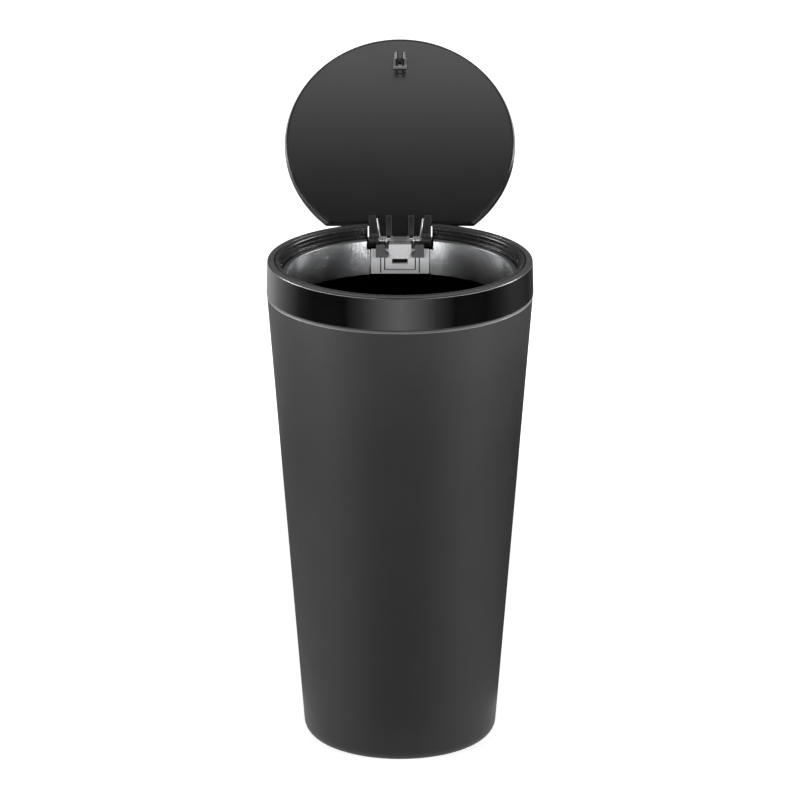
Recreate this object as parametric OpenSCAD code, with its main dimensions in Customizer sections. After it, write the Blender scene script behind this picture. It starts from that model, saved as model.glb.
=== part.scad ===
// Tapered bin for a car's cup holder: a moulded barrel, a push-on collar, a seat ring
// that carries a sprung flip lid at the rear and a push-push latch at the front, and a
// loose metal ring that clamps the liner bag. Millimetres, +Z up, the origin at the
// centre of the underside, the front of the bin at -Y. The lid is drawn open.

/* [Overall] */
// Height from the underside to the rim
total_h = 170; // [150:1:200]
// Outer diameter of the collar at the rim
collar_d = 90; // [89.6:0.1:91]
// Height of the collar
collar_h = 11.8; // [11.5:0.1:14]
// Outward draft of the collar, on the radius, from top to bottom
collar_draft = 0.3; // [0.2:0.05:0.6]
// Radius of the collar's outer top edge
collar_edge_r = 1.2; // [0.6:0.1:1.5]

/* [Barrel] */
// Diameter at the base, before the bottom edge is rounded
base_d = 65.5; // [60:0.1:72]
// Radius of the bottom edge
base_edge_r = 5; // [3:0.5:8]
// Wall of the barrel, measured across
barrel_wall = 2.2; // [1.8:0.1:2.6]
// Thickness of the floor
floor_t = 2.4; // [1.8:0.1:4]
// Bevel on the shoulder below the collar
shoulder_bevel = 0.5; // [0.2:0.1:0.8]
// Thickness of the neck that the collar pushes over
neck_wall = 1.3; // [1:0.1:1.4]

/* [Collar and seat ring] */
// Thickness of the collar's skirt at its lower edge
skirt_wall = 1.3; // [1.1:0.05:1.4]
// Depth of the collar's top flange
flange_h = 5; // [4.6:0.1:5.5]
// Gap between the collar's lower edge and the barrel's shoulder
seam_gap = 0.4; // [0.2:0.1:0.6]
// Width of the rim, from the collar's outer edge to the lid's recess
rim_w = 4.2; // [4:0.05:4.3]
// Width of the step in the recess wall
recess_step = 0.3; // [0.1:0.05:0.35]
// Depth of that step below the rim
recess_step_z = 1.9; // [1.5:0.1:2.2]
// Depth of the recess floor below the rim
recess_depth = 3.4; // [3.3:0.1:3.8]
// Width of the seat ring's rounded bead
bead_w = 1.7; // [1.4:0.1:1.8]
// Height of the bead, which hangs in the collar's rebate
bead_h = 1.2; // [1:0.1:1.4]
// Overall height of the seat ring
seat_h = 6.6; // [6.2:0.1:7]

/* [Liner ring] */
// Distance from the wall of the lid's recess in to the ring's inner face
liner_inset = 2.6; // [2.4:0.1:2.8]
// Inward draft of the ring, on the radius, from top to bottom
liner_draft = 0.8; // [0.4:0.1:1]
// Wall
liner_wall = 0.8; // [0.5:0.1:0.9]
// Width of its flange beyond the wall
liner_flange = 0.8; // [0.6:0.1:0.9]
// Depth of its top below the rim
liner_top_z = 3.9; // [3.7:0.1:4.2]
// Depth of its lower edge below the rim
liner_bottom_z = 16.4; // [14:0.1:18]

/* [Lid] */
// Gap round the lid in its recess
lid_gap = 0.7; // [0.6:0.05:1]
// Thickness of the lid
lid_t = 3; // [2.8:0.1:3.1]
// Thickness of the cover's top plate
cover_t = 1.8; // [1.4:0.1:2]
// Width of the cover's rim around the inner panel
cover_rim = 0.6; // [0.4:0.05:0.8]
// Inward draft of the lid's lower edge
lid_draft = 0.6; // [0.5:0.05:0.8]
// Angle that the lid opens to from closed, in degrees
lid_open = 130.5; // [120:0.5:134]

/* [Hinge] */
// Distance from the wall of the lid's recess in to the pin
hinge_inset = 2.8; // [2.7:0.1:3]
// Depth of the pin below the rim
hinge_drop = 4.5; // [4.4:0.1:4.6]
// Distance from the pin to the lid's straight rear edge
chord_gap = 7.26; // [7.2:0.02:7.6]
// Diameter of the pin
pin_d = 1.5; // [1.2:0.1:1.6]
// Clearance on the radius between the pin and what turns on it
pin_clear = 0.05; // [0.03:0.01:0.08]
// Radius of the lugs around the pin
lug_r = 2.4; // [2.2:0.1:2.5]
// Gap between each spring and its lug
lug_gap = 0.35; // [0.2:0.05:0.5]
// Thickness of each lug at the pin
lug_t = 3.2; // [2.8:0.1:3.4]
// Thickness that each lug loses towards its front end
lug_taper = 1.1; // [0.6:0.1:1.4]
// How far the lugs and ribs stand off the lid's inner face
lug_stand = 1.8; // [1.6:0.1:2]
// Thickness of each stiffening rib
rib_t = 1.9; // [1.4:0.1:2.2]
// Outer face of each rib, from the middle
rib_x = 4.8; // [4.4:0.1:5]
// Gap between each lug and the side of the rear notch
notch_gap = 0.4; // [0.3:0.05:0.6]
// Thickness of the bracket's sheet metal
bracket_t = 0.8; // [0.6:0.1:0.9]
// Distance from each lug's outer face in to the bracket's edge
bracket_inset = 0.7; // [0.5:0.1:1.5]
// Width of the bracket's raised centre plate
tongue_w = 7.8; // [7.4:0.1:8]
// Thickness of the two ears that hold the pin
ear_t = 1; // [0.8:0.1:1.2]
// Distance from the middle to each ear
ear_x = 2.3; // [2:0.1:2.6]
// Width of the raised frame round the slot
frame_w = 10.2; // [9.6:0.1:10.4]
// Height of that frame
frame_h = 4.1; // [3.6:0.1:4.4]
// Width of the slot under the centre plate
slot_w = 5.4; // [4.5:0.1:6]
// Height of that slot
slot_h = 1.7; // [1.5:0.1:2]
// Wire of the torsion springs
torsion_wire = 0.5; // [0.4:0.05:0.5]
// Turns of each torsion spring
torsion_turns = 4; // [3:1:4]
// Length of the leg that bears on the lid
torsion_leg = 7.6; // [5:0.1:8]

/* [Latch] */
// Distance from the liner ring's inner face in to the middle of the latch
latch_inset = 8.5; // [8.2:0.1:9]
// Travel of the slider
latch_travel = 3.5; // [3:0.1:4]
// Width of the latch housing
housing_w = 10; // [9.4:0.1:11]
// Depth of the latch housing, front to back
housing_d = 9; // [8.8:0.1:9.2]
// Height of the slider
slider_h = 16; // [15:0.5:17]
// Wall of the latch housing
housing_wall = 1.2; // [1:0.1:1.4]
// Thickness of the shelf that the housing hangs from
shelf_t = 1.6; // [1.4:0.1:2]
// Length of the striker's prongs below the lid
striker_h = 8; // [7:0.1:8.5]
// Width of the striker's foot
striker_w = 4.8; // [4:0.1:5.2]
// Height of that foot
striker_foot_h = 1.8; // [1.5:0.1:2]
// Thickness of each prong
prong_t = 0.9; // [0.7:0.1:1.1]
// Gap between the two prongs
prong_gap = 1.3; // [1:0.1:1.5]
// Running clearance round the slider
slide_clear = 0.15; // [0.1:0.05:0.25]
// Wire of the latch spring
spring_wire = 0.45; // [0.35:0.05:0.5]
// Outer diameter of the latch spring
spring_d = 3.4; // [3:0.1:3.6]
// Turns of the latch spring
spring_turns = 7; // [5:1:8]

/* [Hidden] */
$fn = 96;

// Clearances, and the small steps between pieces
fit_gap = 0.1;
press_gap = 0.02;
swing_gap = 0.3;
liner_clear = 0.2;
coil_clear = 0.2;
turn_gap = 0.06;
shoulder_step = 0.1;
bead_hook = 0.8;
ear_wall = 0.75;
sleeve_wall = 0.5;
tongue_raise = 0.6;
frame_raise = 0.5;

collar_top_r = collar_d / 2;
collar_foot_r = collar_top_r + collar_draft;
shoulder_z = total_h - collar_h;
shoulder_r = collar_foot_r - shoulder_step;
taper = (shoulder_r - base_d / 2) / shoulder_z;
neck_r = collar_foot_r - skirt_wall - fit_gap;
neck_inner_r = neck_r - neck_wall;
neck_top_z = total_h - flange_h;
recess_r = collar_top_r - rim_w;
liner_r_top = recess_r - liner_inset;
liner_r_bottom = liner_r_top - liner_draft;
lid_r = recess_r - lid_gap;
skirt_foot_z = shoulder_z + seam_gap;
bead_r = recess_r + bead_w;
recess_low_r = recess_r - recess_step;
seat_outer_r = bead_r - bead_hook;
liner_outer_r = liner_r_top + liner_wall;
liner_flange_r = liner_outer_r + liner_flange;
liner_seat_r = liner_flange_r + liner_clear;
liner_flange_t = 1.1;
liner_seat_z = total_h - liner_top_z - liner_flange_t;
liner_hole_r = liner_outer_r + liner_clear;

hinge_y = recess_r - hinge_inset;
hinge_z = total_h - hinge_drop;
chord_y = hinge_y - chord_gap;
pin_r = pin_d / 2;
ear_r = pin_r + ear_wall;
sleeve_r = pin_r + sleeve_wall;
coil_r = pin_r + coil_clear + torsion_wire / 2;
coil_pitch = torsion_wire + turn_gap;
leg_level_a = 87.5;
coil_turns = torsion_turns + (lid_open - leg_level_a) / 360;
coil_gap = 0.45;
coil_x = tongue_w / 2 + coil_gap;
coil_end_x = coil_x + torsion_wire + coil_pitch * coil_turns;
lug_inner_x = coil_end_x + lug_gap;
lug_outer_x = lug_inner_x + lug_t;
pin_len = 2 * lug_outer_x;
notch_w = 2 * (lug_outer_x + notch_gap);
bracket_w = 2 * (lug_outer_x - bracket_inset);
under_z = total_h - lid_t;
panel_t = lid_t - cover_t;
panel_r = lid_r - lid_draft - cover_rim;
lug_reach = 2.3;
lug_start_y = chord_y - lug_reach;
lug_foot_r = 0.9;

tab_back_gap = 0.4;
tab_back_y = seat_outer_r - tab_back_gap;
plate_y = hinge_y - ear_r;
plate_back_y = plate_y + bracket_t;
plate_top_z = hinge_z - lug_r - swing_gap;
plate_foot_gap = 0.3;
plate_foot_z = total_h - liner_bottom_z + plate_foot_gap;
tongue_y = plate_y - tongue_raise;
tongue_drop = 0.25;
tongue_h = 5.15;
tongue_top_z = hinge_z - tongue_drop;
tongue_foot_z = tongue_top_z - tongue_h;
frame_y = plate_y - frame_raise;
frame_gap = 0.3;
frame_band = 0.45;
frame_top_z = tongue_foot_z - frame_gap;
slot_top_z = frame_top_z - frame_band;
block_gap = 1.2;
block_inner_x = tongue_w / 2 + block_gap;
block_w = 3.2;
block_h = 4.7;
block_t = 1.4;
block_back_gap = 0.25;
block_back_y = hinge_y - lug_r - block_back_gap;
block_front_y = block_back_y - block_t;
block_top_gap = 0.15;
block_top_z = total_h - lid_t - lug_stand - block_top_gap;
block_foot_z = block_top_z - block_h;
screw_x = block_inner_x + block_w / 2;
screw_z = (plate_top_z + block_foot_z) / 2;
screw_r = 0.7;
screw_head_r = 1.3;
cross_l = 1.6;
cross_w = 0.3;
tab_overlap = 1.7;
tab_w = notch_w + 2 * tab_overlap;
lug_room = 2.5;
crease_x = bracket_w / 3;
crease_w = 0.3;
crease_depth = 0.2;
tab_foot_gap = 2.2;
tab_foot_z = total_h - liner_bottom_z + tab_foot_gap;
tab_drop = 1.5;
tab_top_z = plate_top_z - tab_drop;

housing_top_z = total_h - seat_h;
shelf_top_z = housing_top_z + shelf_t;
latch_y = liner_r_top - latch_inset;
housing_rear_y = -latch_y + housing_d / 2;
housing_front_y = -latch_y - housing_d / 2;
slider_w = housing_w - 2 * housing_wall - 2 * slide_clear;
slider_d = housing_d - 2 * housing_wall - 2 * slide_clear;
slider_drop = 6;
slider_top_z = total_h - slider_drop;
slider_foot_z = slider_top_z - slider_h;
housing_floor_t = 1.6;
overtravel = 0.5;
housing_foot_z = slider_foot_z - latch_travel - overtravel - housing_floor_t;
socket_clear = 0.5;
socket_w = 2 * prong_t + prong_gap + 2 * socket_clear;
socket_d = 4.4;
socket_floor_t = 5.5;
socket_h = slider_h - socket_floor_t;
arm_h = 6;
spring_pocket_r = spring_d / 2 + coil_clear;
spring_pocket_h = 4;
spring_foot_z = housing_foot_z + housing_floor_t;
spring_head_z = slider_foot_z + spring_pocket_h;
ear_w = 4;
hanger_t = 1.6;
ear_screw_x = housing_w / 2 + ear_w / 2;
window_w = 3.8;
window_h = 12.3;
window_foot_z = spring_foot_z + 0.2;
front_plate_t = 0.8;
front_plate_h = 14.1;
cam_depth = 0.6;
cam_lane = 1;
cam_pin_r = 0.35;
cam_pin_x = -1.35;
cam_pin_rise = 5.2;
cam_pin_top_z = slider_foot_z + cam_pin_rise;
striker_d = 3.6;

// Points of an arc, from one angle to another.
function arc(cx, cy, r, a0, a1, n = 8) =
    [for (i = [0 : n]) let (a = a0 + (a1 - a0) * i / n) [cx + r * cos(a), cy + r * sin(a)]];

// A cross-shaped recess for a driver, h deep.
module cross_recess(h) {
    for (turn = [0, 90])
        rotate([0, 0, turn])
            translate([-cross_l / 2, -cross_w / 2, 0])
                cube([cross_l, cross_w, h]);
}

// Radius of the barrel's outer face at a height.
function barrel_r(z) = base_d / 2 + taper * z;

// Turns what is drawn with the lid closed to where it stands with the lid open.
module opened() {
    translate([0, hinge_y, hinge_z])
        rotate([-lid_open, 0, 0])
            translate([0, -hinge_y, -hinge_z])
                children();
}

// A plate seen from the side, drawn as [y, z] points, from x0 to x1.
module side_plate(x0, x1) {
    translate([x0, 0, 0])
        rotate([90, 0, 90])
            linear_extrude(x1 - x0)
                children();
}

// A block from its lowest corner to its highest corner.
module block(low, high) {
    translate(low) cube(high - low);
}

// A wire of round section swept along a list of points.
module wire(points, r, sides = 8) {
    last = len(points) - 1;
    function unit(v) = v / norm(v);
    function along(i) = unit(points[min(i + 1, last)] - points[max(i - 1, 0)]);
    function side_of(t) = abs(t[0]) < 0.9 ? unit(cross(t, [1, 0, 0])) : unit(cross(t, [0, 1, 0]));
    rings = [for (i = [0 : last])
        let (t = along(i), u = side_of(t), v = cross(t, u))
            for (k = [0 : sides - 1])
                points[i] + r * cos(360 * k / sides) * u + r * sin(360 * k / sides) * v];
    walls = [for (i = [0 : last - 1])
        for (k = [0 : sides - 1])
            let (a = i * sides + k, b = i * sides + (k + 1) % sides)
                each [[a, b, b + sides], [a, b + sides, a + sides]]];
    first_cap = [for (k = [sides - 1 : -1 : 0]) k];
    last_cap = [for (k = [0 : sides - 1]) last * sides + k];
    polyhedron(rings, concat(walls, [first_cap, last_cap]), convexity = 4);
}

// The tapered cup with its rounded foot, shoulder and neck.
module barrel() {
    half = atan(taper);
    foot_r = base_d / 2 - base_edge_r * (1 - tan(half)) / (1 + tan(half));
    foot = arc(foot_r, base_edge_r, base_edge_r, -90, -half);
    inner_edge_r = base_edge_r - floor_t;
    color([0.16, 0.16, 0.16])
    rotate_extrude($fn = 180)
        polygon(concat(
            [[0, 0]],
            foot,
            [[barrel_r(shoulder_z - shoulder_bevel), shoulder_z - shoulder_bevel],
             [shoulder_r - shoulder_bevel, shoulder_z],
             [neck_r, shoulder_z],
             [neck_r, neck_top_z],
             [neck_inner_r, neck_top_z],
             [neck_inner_r, (neck_inner_r + barrel_wall - base_d / 2) / taper]],
            arc(foot_r, base_edge_r, inner_edge_r, -half, -90),
            [[0, floor_t]]));
}

// The glossy collar, with a rebate for the seat ring and a notch for the hinge.
module collar() {
    color([0.06, 0.06, 0.06])
    difference() {
        rotate_extrude($fn = 180)
            polygon(concat(
                [[neck_r + fit_gap, skirt_foot_z],
                 [collar_foot_r, skirt_foot_z]],
                arc(collar_top_r - collar_edge_r, total_h - collar_edge_r, collar_edge_r, 0, 90),
                [[bead_r + fit_gap, total_h],
                 [bead_r + fit_gap, total_h - bead_h],
                 [seat_outer_r + fit_gap, total_h - bead_h],
                 [seat_outer_r + fit_gap, neck_top_z],
                 [neck_r + fit_gap, neck_top_z]]));
        block([-notch_w / 2, 0, neck_top_z], [notch_w / 2, collar_d, total_h + 1]);
    }
}

// The ring under the lid, with the hinge tab at the rear and the latch shelf in front.
module seat_ring() {
    seat_foot_z = total_h - seat_h;
    color([0.08, 0.08, 0.08])
    difference() {
        union() {
            difference() {
                rotate_extrude($fn = 180)
                    polygon(concat(
                        [[liner_hole_r, seat_foot_z],
                         [seat_outer_r, seat_foot_z],
                         [seat_outer_r, total_h - bead_h]],
                        [[bead_r, total_h - bead_h]],
                        arc(bead_r - 0.5, total_h - 0.5, 0.5, 0, 90, 5),
                        arc(recess_r + 0.5, total_h - 0.5, 0.5, 90, 180, 5),
                        [[recess_r, total_h - recess_step_z],
                         [recess_low_r, total_h - recess_step_z],
                         [recess_low_r, total_h - recess_depth],
                         [liner_seat_r, total_h - recess_depth],
                         [liner_seat_r, liner_seat_z],
                         [liner_hole_r, liner_seat_z]]));
                block([-notch_w / 2, 0, seat_foot_z - 1], [notch_w / 2, collar_d, total_h + 1]);
            }
            // The tab hangs below the notch and ties the ring's two ends together.
            intersection() {
                difference() {
                    union() {
                        block([-tab_w / 2, plate_back_y, tab_foot_z],
                              [tab_w / 2, tab_back_y, tab_top_z]);
                        for (side = [0, 1])
                            mirror([side, 0, 0])
                                block([notch_w / 2, plate_back_y, tab_top_z - 1],
                                      [tab_w / 2, tab_back_y, seat_foot_z + 0.5]);
                    }
                    translate([0, 0, tab_foot_z - 1])
                        difference() {
                            cylinder(r = liner_hole_r + 0.3, h = collar_h + 4);
                            translate([-bracket_w / 2, 0, -1])
                                cube([bracket_w, collar_d, collar_h + 8]);
                        }
                }
                translate([0, 0, tab_foot_z - 1]) cylinder(r = seat_outer_r, h = collar_h + 4);
            }
            // The shelf reaches in to the latch through the gap in the liner ring.
            intersection() {
                block([-ear_screw_x - ear_w / 2, -collar_top_r, seat_foot_z],
                      [ear_screw_x + ear_w / 2, housing_rear_y, shelf_top_z]);
                translate([0, 0, seat_foot_z - 1]) cylinder(r = liner_hole_r + 0.5, h = 4);
            }
        }
        for (side = [-1, 1]) {
            translate([side * screw_x, plate_back_y - 1, screw_z])
                rotate([-90, 0, 0]) {
                    cylinder(r = screw_r + fit_gap, h = 10, $fn = 32);
                    translate([0, 0, tab_back_y - plate_back_y])
                        cylinder(r = screw_head_r + fit_gap, h = 5, $fn = 32);
                }
            translate([side * ear_screw_x, -latch_y, seat_foot_z - 1])
                cylinder(r = screw_r + press_gap, h = shelf_t + 0.6, $fn = 32);
        }
        block([-slider_w / 2 - 0.4, -latch_y - slider_d / 2 - 0.4, seat_foot_z - 1],
              [slider_w / 2 + 0.4, -latch_y + slider_d / 2 + 0.4, shelf_top_z + 1]);
    }
}

// The loose plated ring that clamps the liner bag, open behind for the hinge bracket.
module liner_ring() {
    top_z = total_h - liner_top_z;
    foot_z = total_h - liner_bottom_z;
    color([0.75, 0.76, 0.78])
    difference() {
        rotate_extrude($fn = 180)
            polygon(concat(
                [[liner_r_bottom, foot_z],
                 [liner_r_bottom + liner_wall, foot_z],
                 [liner_outer_r, liner_seat_z],
                 [liner_flange_r, liner_seat_z],
                 [liner_flange_r, top_z]],
                arc(liner_r_top + 0.6, top_z - 0.6, 0.6, 90, 180, 5)));
        block([-bracket_w / 2 - 0.3, 0, foot_z - 1], [bracket_w / 2 + 0.3, collar_d, top_z + 1]);
        for (side = [-1, 1])
            mirror([side < 0 ? 1 : 0, 0, 0])
                block([bracket_w / 2, 0, liner_seat_z - lug_room],
                      [lug_outer_x + 2 * notch_gap, collar_d, top_z + 1]);
        block([-ear_screw_x - ear_w / 2 - 0.3, -collar_d, housing_top_z - 0.3],
              [ear_screw_x + ear_w / 2 + 0.3, 0, top_z + 1]);
    }
}

// The bent plate that holds the pin: a raised centre plate with two ears, and a raised
// frame round the slot under it.
module hinge_bracket() {
    bend_r = 0.7;
    color([0.72, 0.73, 0.75])
    difference() {
        union() {
            block([-bracket_w / 2, plate_y, plate_foot_z], [bracket_w / 2, plate_back_y, plate_top_z]);
            block([-frame_w / 2, frame_y, frame_top_z - frame_h],
                  [frame_w / 2, plate_y + 0.1, frame_top_z]);
            side_plate(-tongue_w / 2, tongue_w / 2)
                polygon(concat(
                    [[tongue_y, tongue_foot_z],
                     [plate_back_y, tongue_foot_z],
                     [plate_back_y, plate_top_z],
                     [tongue_y + bracket_t, plate_top_z],
                     [tongue_y + bracket_t, tongue_top_z]],
                    arc(tongue_y + bend_r, tongue_top_z - bend_r, bend_r, 90, 180, 5)));
            for (side = [0, 1])
                mirror([side, 0, 0])
                    side_plate(ear_x, ear_x + ear_t) {
                        translate([hinge_y, hinge_z]) circle(r = ear_r, $fn = 48);
                        polygon([[tongue_y + 0.3, hinge_z - 2], [hinge_y, hinge_z - ear_r],
                                 [hinge_y - 0.4, hinge_z + ear_r - 0.1], [tongue_y + 0.5, tongue_top_z]]);
                    }
        }
        translate([-tongue_w, hinge_y, hinge_z])
            rotate([0, 90, 0])
                cylinder(r = pin_r + press_gap, h = 2 * tongue_w, $fn = 48);
        block([-slot_w / 2, frame_y - 1, slot_top_z - slot_h], [slot_w / 2, plate_back_y + 1, slot_top_z]);
        for (side = [-1, 1]) {
            translate([side * screw_x, plate_y - 1, screw_z])
                rotate([-90, 0, 0])
                    cylinder(r = screw_r + fit_gap, h = 10, $fn = 32);
            // The pressed line under each block.
            block([side * crease_x - crease_w / 2, plate_y - 0.1, plate_foot_z + 0.3],
                  [side * crease_x + crease_w / 2, plate_y + crease_depth, block_foot_z + 0.3]);
        }
    }
}

// The plastic sleeve that fills the pin between the bracket's ears.
module pin_sleeve() {
    length = 2 * (ear_x - 0.05);
    color([0.1, 0.1, 0.1])
    translate([-length / 2, hinge_y, hinge_z])
        rotate([0, 90, 0])
            difference() {
                cylinder(r = sleeve_r, h = length, $fn = 48);
                translate([0, 0, -1]) cylinder(r = pin_r + press_gap, h = length + 2, $fn = 48);
            }
}

// One moulded block in front of the bracket, stepped back over it to clear the lugs.
module spring_block(side) {
    flare = 0.9;
    flare_z = block_foot_z + 1.2;
    slope_z = block_foot_z + 2.2;
    x0 = block_inner_x;
    x1 = block_inner_x + block_w;
    color([0.12, 0.12, 0.12])
    mirror([side < 0 ? 1 : 0, 0, 0])
    difference() {
        translate([0, plate_y, 0])
            rotate([90, 0, 0])
                linear_extrude(plate_y - block_front_y)
                    polygon([[x0 - flare, block_foot_z], [x1, block_foot_z], [x1, block_top_z],
                             [x0, block_top_z], [x0, slope_z], [x0 - flare, flare_z]]);
        block([x0 - 1, block_back_y, plate_top_z], [x1 + 1, plate_y + 1, block_top_z + 1]);
        block([0, tongue_y - fit_gap, block_foot_z - 1],
              [tongue_w / 2 + fit_gap, plate_y + 1, block_top_z]);
        block([0, frame_y - fit_gap, block_foot_z - 1],
              [frame_w / 2 + fit_gap, plate_y + 1, frame_top_z + fit_gap]);
        translate([screw_x, block_front_y + 0.5, screw_z])
            rotate([-90, 0, 0])
                cylinder(r = screw_r + press_gap, h = 5, $fn = 32);
    }
}

// The two countersunk screws that come through the seat ring's tab from behind.
module bracket_screws() {
    head_h = 0.8;
    tip_y = block_front_y + 0.7;
    color([0.5, 0.5, 0.52])
    for (side = [-1, 1])
        translate([side * screw_x, tip_y, screw_z])
            rotate([-90, 0, 0])
                difference() {
                    union() {
                        cylinder(r = screw_r, h = tab_back_y - tip_y - head_h, $fn = 32);
                        translate([0, 0, tab_back_y - 1 - tip_y])
                            cylinder(r = screw_head_r, h = head_h, $fn = 32);
                    }
                    translate([0, 0, tab_back_y - 0.6 - tip_y]) cross_recess(2);
                }
}

// The steel pin through the lugs, springs and knuckle.
module hinge_pin() {
    color([0.8, 0.8, 0.82])
    translate([-pin_len / 2, hinge_y, hinge_z])
        rotate([0, 90, 0])
            cylinder(r = pin_r, h = pin_len, $fn = 48);
}

// One torsion spring: close turns round the pin, a leg down behind the block and a leg
// that bears on the lid's root.
module torsion_spring(side) {
    steps = 20;
    x0 = coil_x + torsion_wire / 2;
    start_a = 180;
    turn_a = 360 * coil_turns;
    n = steps * torsion_turns + 3;
    coil = [for (i = [0 : n]) let (a = start_a - turn_a * i / n)
        [x0 + coil_pitch * coil_turns * i / n, hinge_y + coil_r * cos(a), hinge_z + coil_r * sin(a)]];
    end_a = start_a - turn_a;
    leg_dir = [0.12, sin(end_a), -cos(end_a)];
    fixed_leg = [for (part = [1, 0.5]) coil[0] - [0, 0, part * (hinge_z - plate_top_z - torsion_wire / 2)]];
    free_leg = [for (part = [0.2, 0.6, 1]) coil[n] + part * torsion_leg * leg_dir];
    color([0.78, 0.79, 0.8])
    mirror([side < 0 ? 1 : 0, 0, 0])
        wire(concat(fixed_leg, coil, free_leg), torsion_wire / 2);
}

// The moulded body of the push-push latch, open at the top and in front.
module latch_housing() {
    color([0.1, 0.1, 0.1])
    difference() {
        union() {
            block([-housing_w / 2, housing_front_y, housing_foot_z],
                  [housing_w / 2, housing_rear_y, housing_top_z]);
            block([-ear_screw_x - ear_w / 2, -latch_y - ear_w / 2, housing_top_z - hanger_t],
                  [ear_screw_x + ear_w / 2, -latch_y + ear_w / 2, housing_top_z]);
        }
        block([-slider_w / 2 - slide_clear, -latch_y - slider_d / 2 - slide_clear, spring_foot_z],
              [slider_w / 2 + slide_clear, -latch_y + slider_d / 2 + slide_clear, housing_top_z + 1]);
        block([-window_w / 2, housing_front_y - 1, window_foot_z],
              [window_w / 2, -latch_y, window_foot_z + window_h]);
        for (side = [-1, 1])
            translate([side * ear_screw_x, -latch_y, housing_top_z - 3])
                cylinder(r = screw_r + fit_gap, h = 5, $fn = 32);
    }
}

// The plate over the latch's front, which keeps the cam pin in its track.
module latch_cover() {
    margin = 1;
    foot_z = spring_foot_z - 0.6;
    slot_w = 1.2;
    slot_foot_z = foot_z + 5.6;
    slot_l = 4;
    color([0.14, 0.14, 0.14])
    difference() {
        block([margin - housing_w / 2, housing_front_y - front_plate_t, foot_z],
              [housing_w / 2 - margin, housing_front_y, foot_z + front_plate_h]);
        block([-slot_w / 2, housing_front_y - 1, slot_foot_z],
              [slot_w / 2, housing_front_y - front_plate_t / 2, slot_foot_z + slot_l]);
    }
}

// The two screws that hang the latch from the shelf.
module latch_screws() {
    head_z = housing_top_z - hanger_t;
    color([0.5, 0.5, 0.52])
    for (side = [-1, 1])
        translate([side * ear_screw_x, -latch_y, 0])
            difference() {
                union() {
                    translate([0, 0, head_z - 0.9]) cylinder(r = screw_head_r, h = 0.9, $fn = 32);
                    translate([0, 0, head_z - 0.5]) cylinder(r = screw_r, h = 2.5, $fn = 32);
                }
                translate([0, 0, head_z - 1.4]) cross_recess(1);
            }
}

// The compression spring under the slider.
module latch_spring() {
    steps = 16;
    n = spring_turns * steps;
    low = spring_foot_z + spring_wire / 2 + 0.05;
    high = spring_head_z - spring_wire / 2 - 0.05;
    mean_r = (spring_d - spring_wire) / 2;
    color([0.78, 0.79, 0.8])
    wire([for (i = [0 : n])
        let (a = 360 * i / steps, part = i / n)
            [mean_r * cos(a), -latch_y + mean_r * sin(a), low + (high - low) * part]],
        spring_wire / 2, 6);
}

// The bent wire whose tip follows the cam track in the slider.
module latch_pin() {
    rail_y = housing_front_y + 0.5;
    tip_y = housing_front_y + housing_wall + 0.6;
    foot_z = spring_foot_z + 1;
    bend = 0.5;
    color([0.8, 0.8, 0.82])
    wire(concat(
        [[cam_pin_x + 2.6, rail_y, foot_z]],
        [for (a = [-90, -120, -150, -180])
            [cam_pin_x + bend + bend * cos(a), rail_y, foot_z + bend + bend * sin(a)]],
        [for (a = [180, 150, 120, 90])
            [cam_pin_x, rail_y + bend + bend * cos(a), cam_pin_top_z - bend + bend * sin(a)]],
        [[cam_pin_x, tip_y, cam_pin_top_z]]),
        cam_pin_r);
}

// The slider, with the socket that takes the striker and the heart-shaped cam track.
module latch_slider() {
    front_y = -latch_y - slider_d / 2;
    track_foot_z = cam_pin_top_z - latch_travel / 2 - 1;
    track_w = 2 * (abs(cam_pin_x) + cam_lane / 2);
    heart_z = cam_pin_top_z + latch_travel / 2 + 0.3;
    color([0.2, 0.2, 0.2])
    difference() {
        block([-slider_w / 2, front_y, slider_foot_z],
              [slider_w / 2, -latch_y + slider_d / 2, slider_top_z]);
        block([-socket_w / 2, -latch_y - socket_d / 2, slider_top_z - socket_h],
              [socket_w / 2, -latch_y + socket_d / 2, slider_top_z + 1]);
        // The windows in front and behind leave two arms, which grip the striker.
        block([-socket_w / 2, front_y - 1, slider_top_z - arm_h],
              [socket_w / 2, -latch_y + slider_d / 2 + 1, slider_top_z + 1]);
        translate([0, -latch_y, slider_foot_z - 1])
            cylinder(r = spring_pocket_r, h = spring_pocket_h + 1, $fn = 48);
        difference() {
            block([-track_w / 2, front_y - 1, track_foot_z],
                  [track_w / 2, front_y + cam_depth, track_foot_z + latch_travel + 3.4]);
            translate([0, front_y + cam_depth + 1, heart_z])
                rotate([90, 0, 0])
                    linear_extrude(cam_depth + 2)
                        polygon([[0, -1.5], [0.75, 0.2], [0.55, 1.1],
                                 [0, 0.6], [-0.55, 1.1], [-0.75, 0.2]]);
        }
    }
}

// The lid's outer shell: a disc with a straight rear edge and a rim round its inner face.
module lid_cover() {
    top_edge_r = 0.5;
    color([0.07, 0.07, 0.07])
    opened()
    difference() {
        rotate_extrude($fn = 180)
            polygon(concat(
                [[0, total_h - cover_t],
                 [panel_r + 0.05, total_h - cover_t],
                 [panel_r + 0.05, under_z],
                 [lid_r - lid_draft, under_z],
                 [lid_r, total_h - 1.2]],
                arc(lid_r - top_edge_r, total_h - top_edge_r, top_edge_r, 0, 90, 5),
                [[0, total_h]]));
        block([-collar_d, chord_y, 0], [collar_d, collar_d, total_h + 1]);
    }
}

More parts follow.
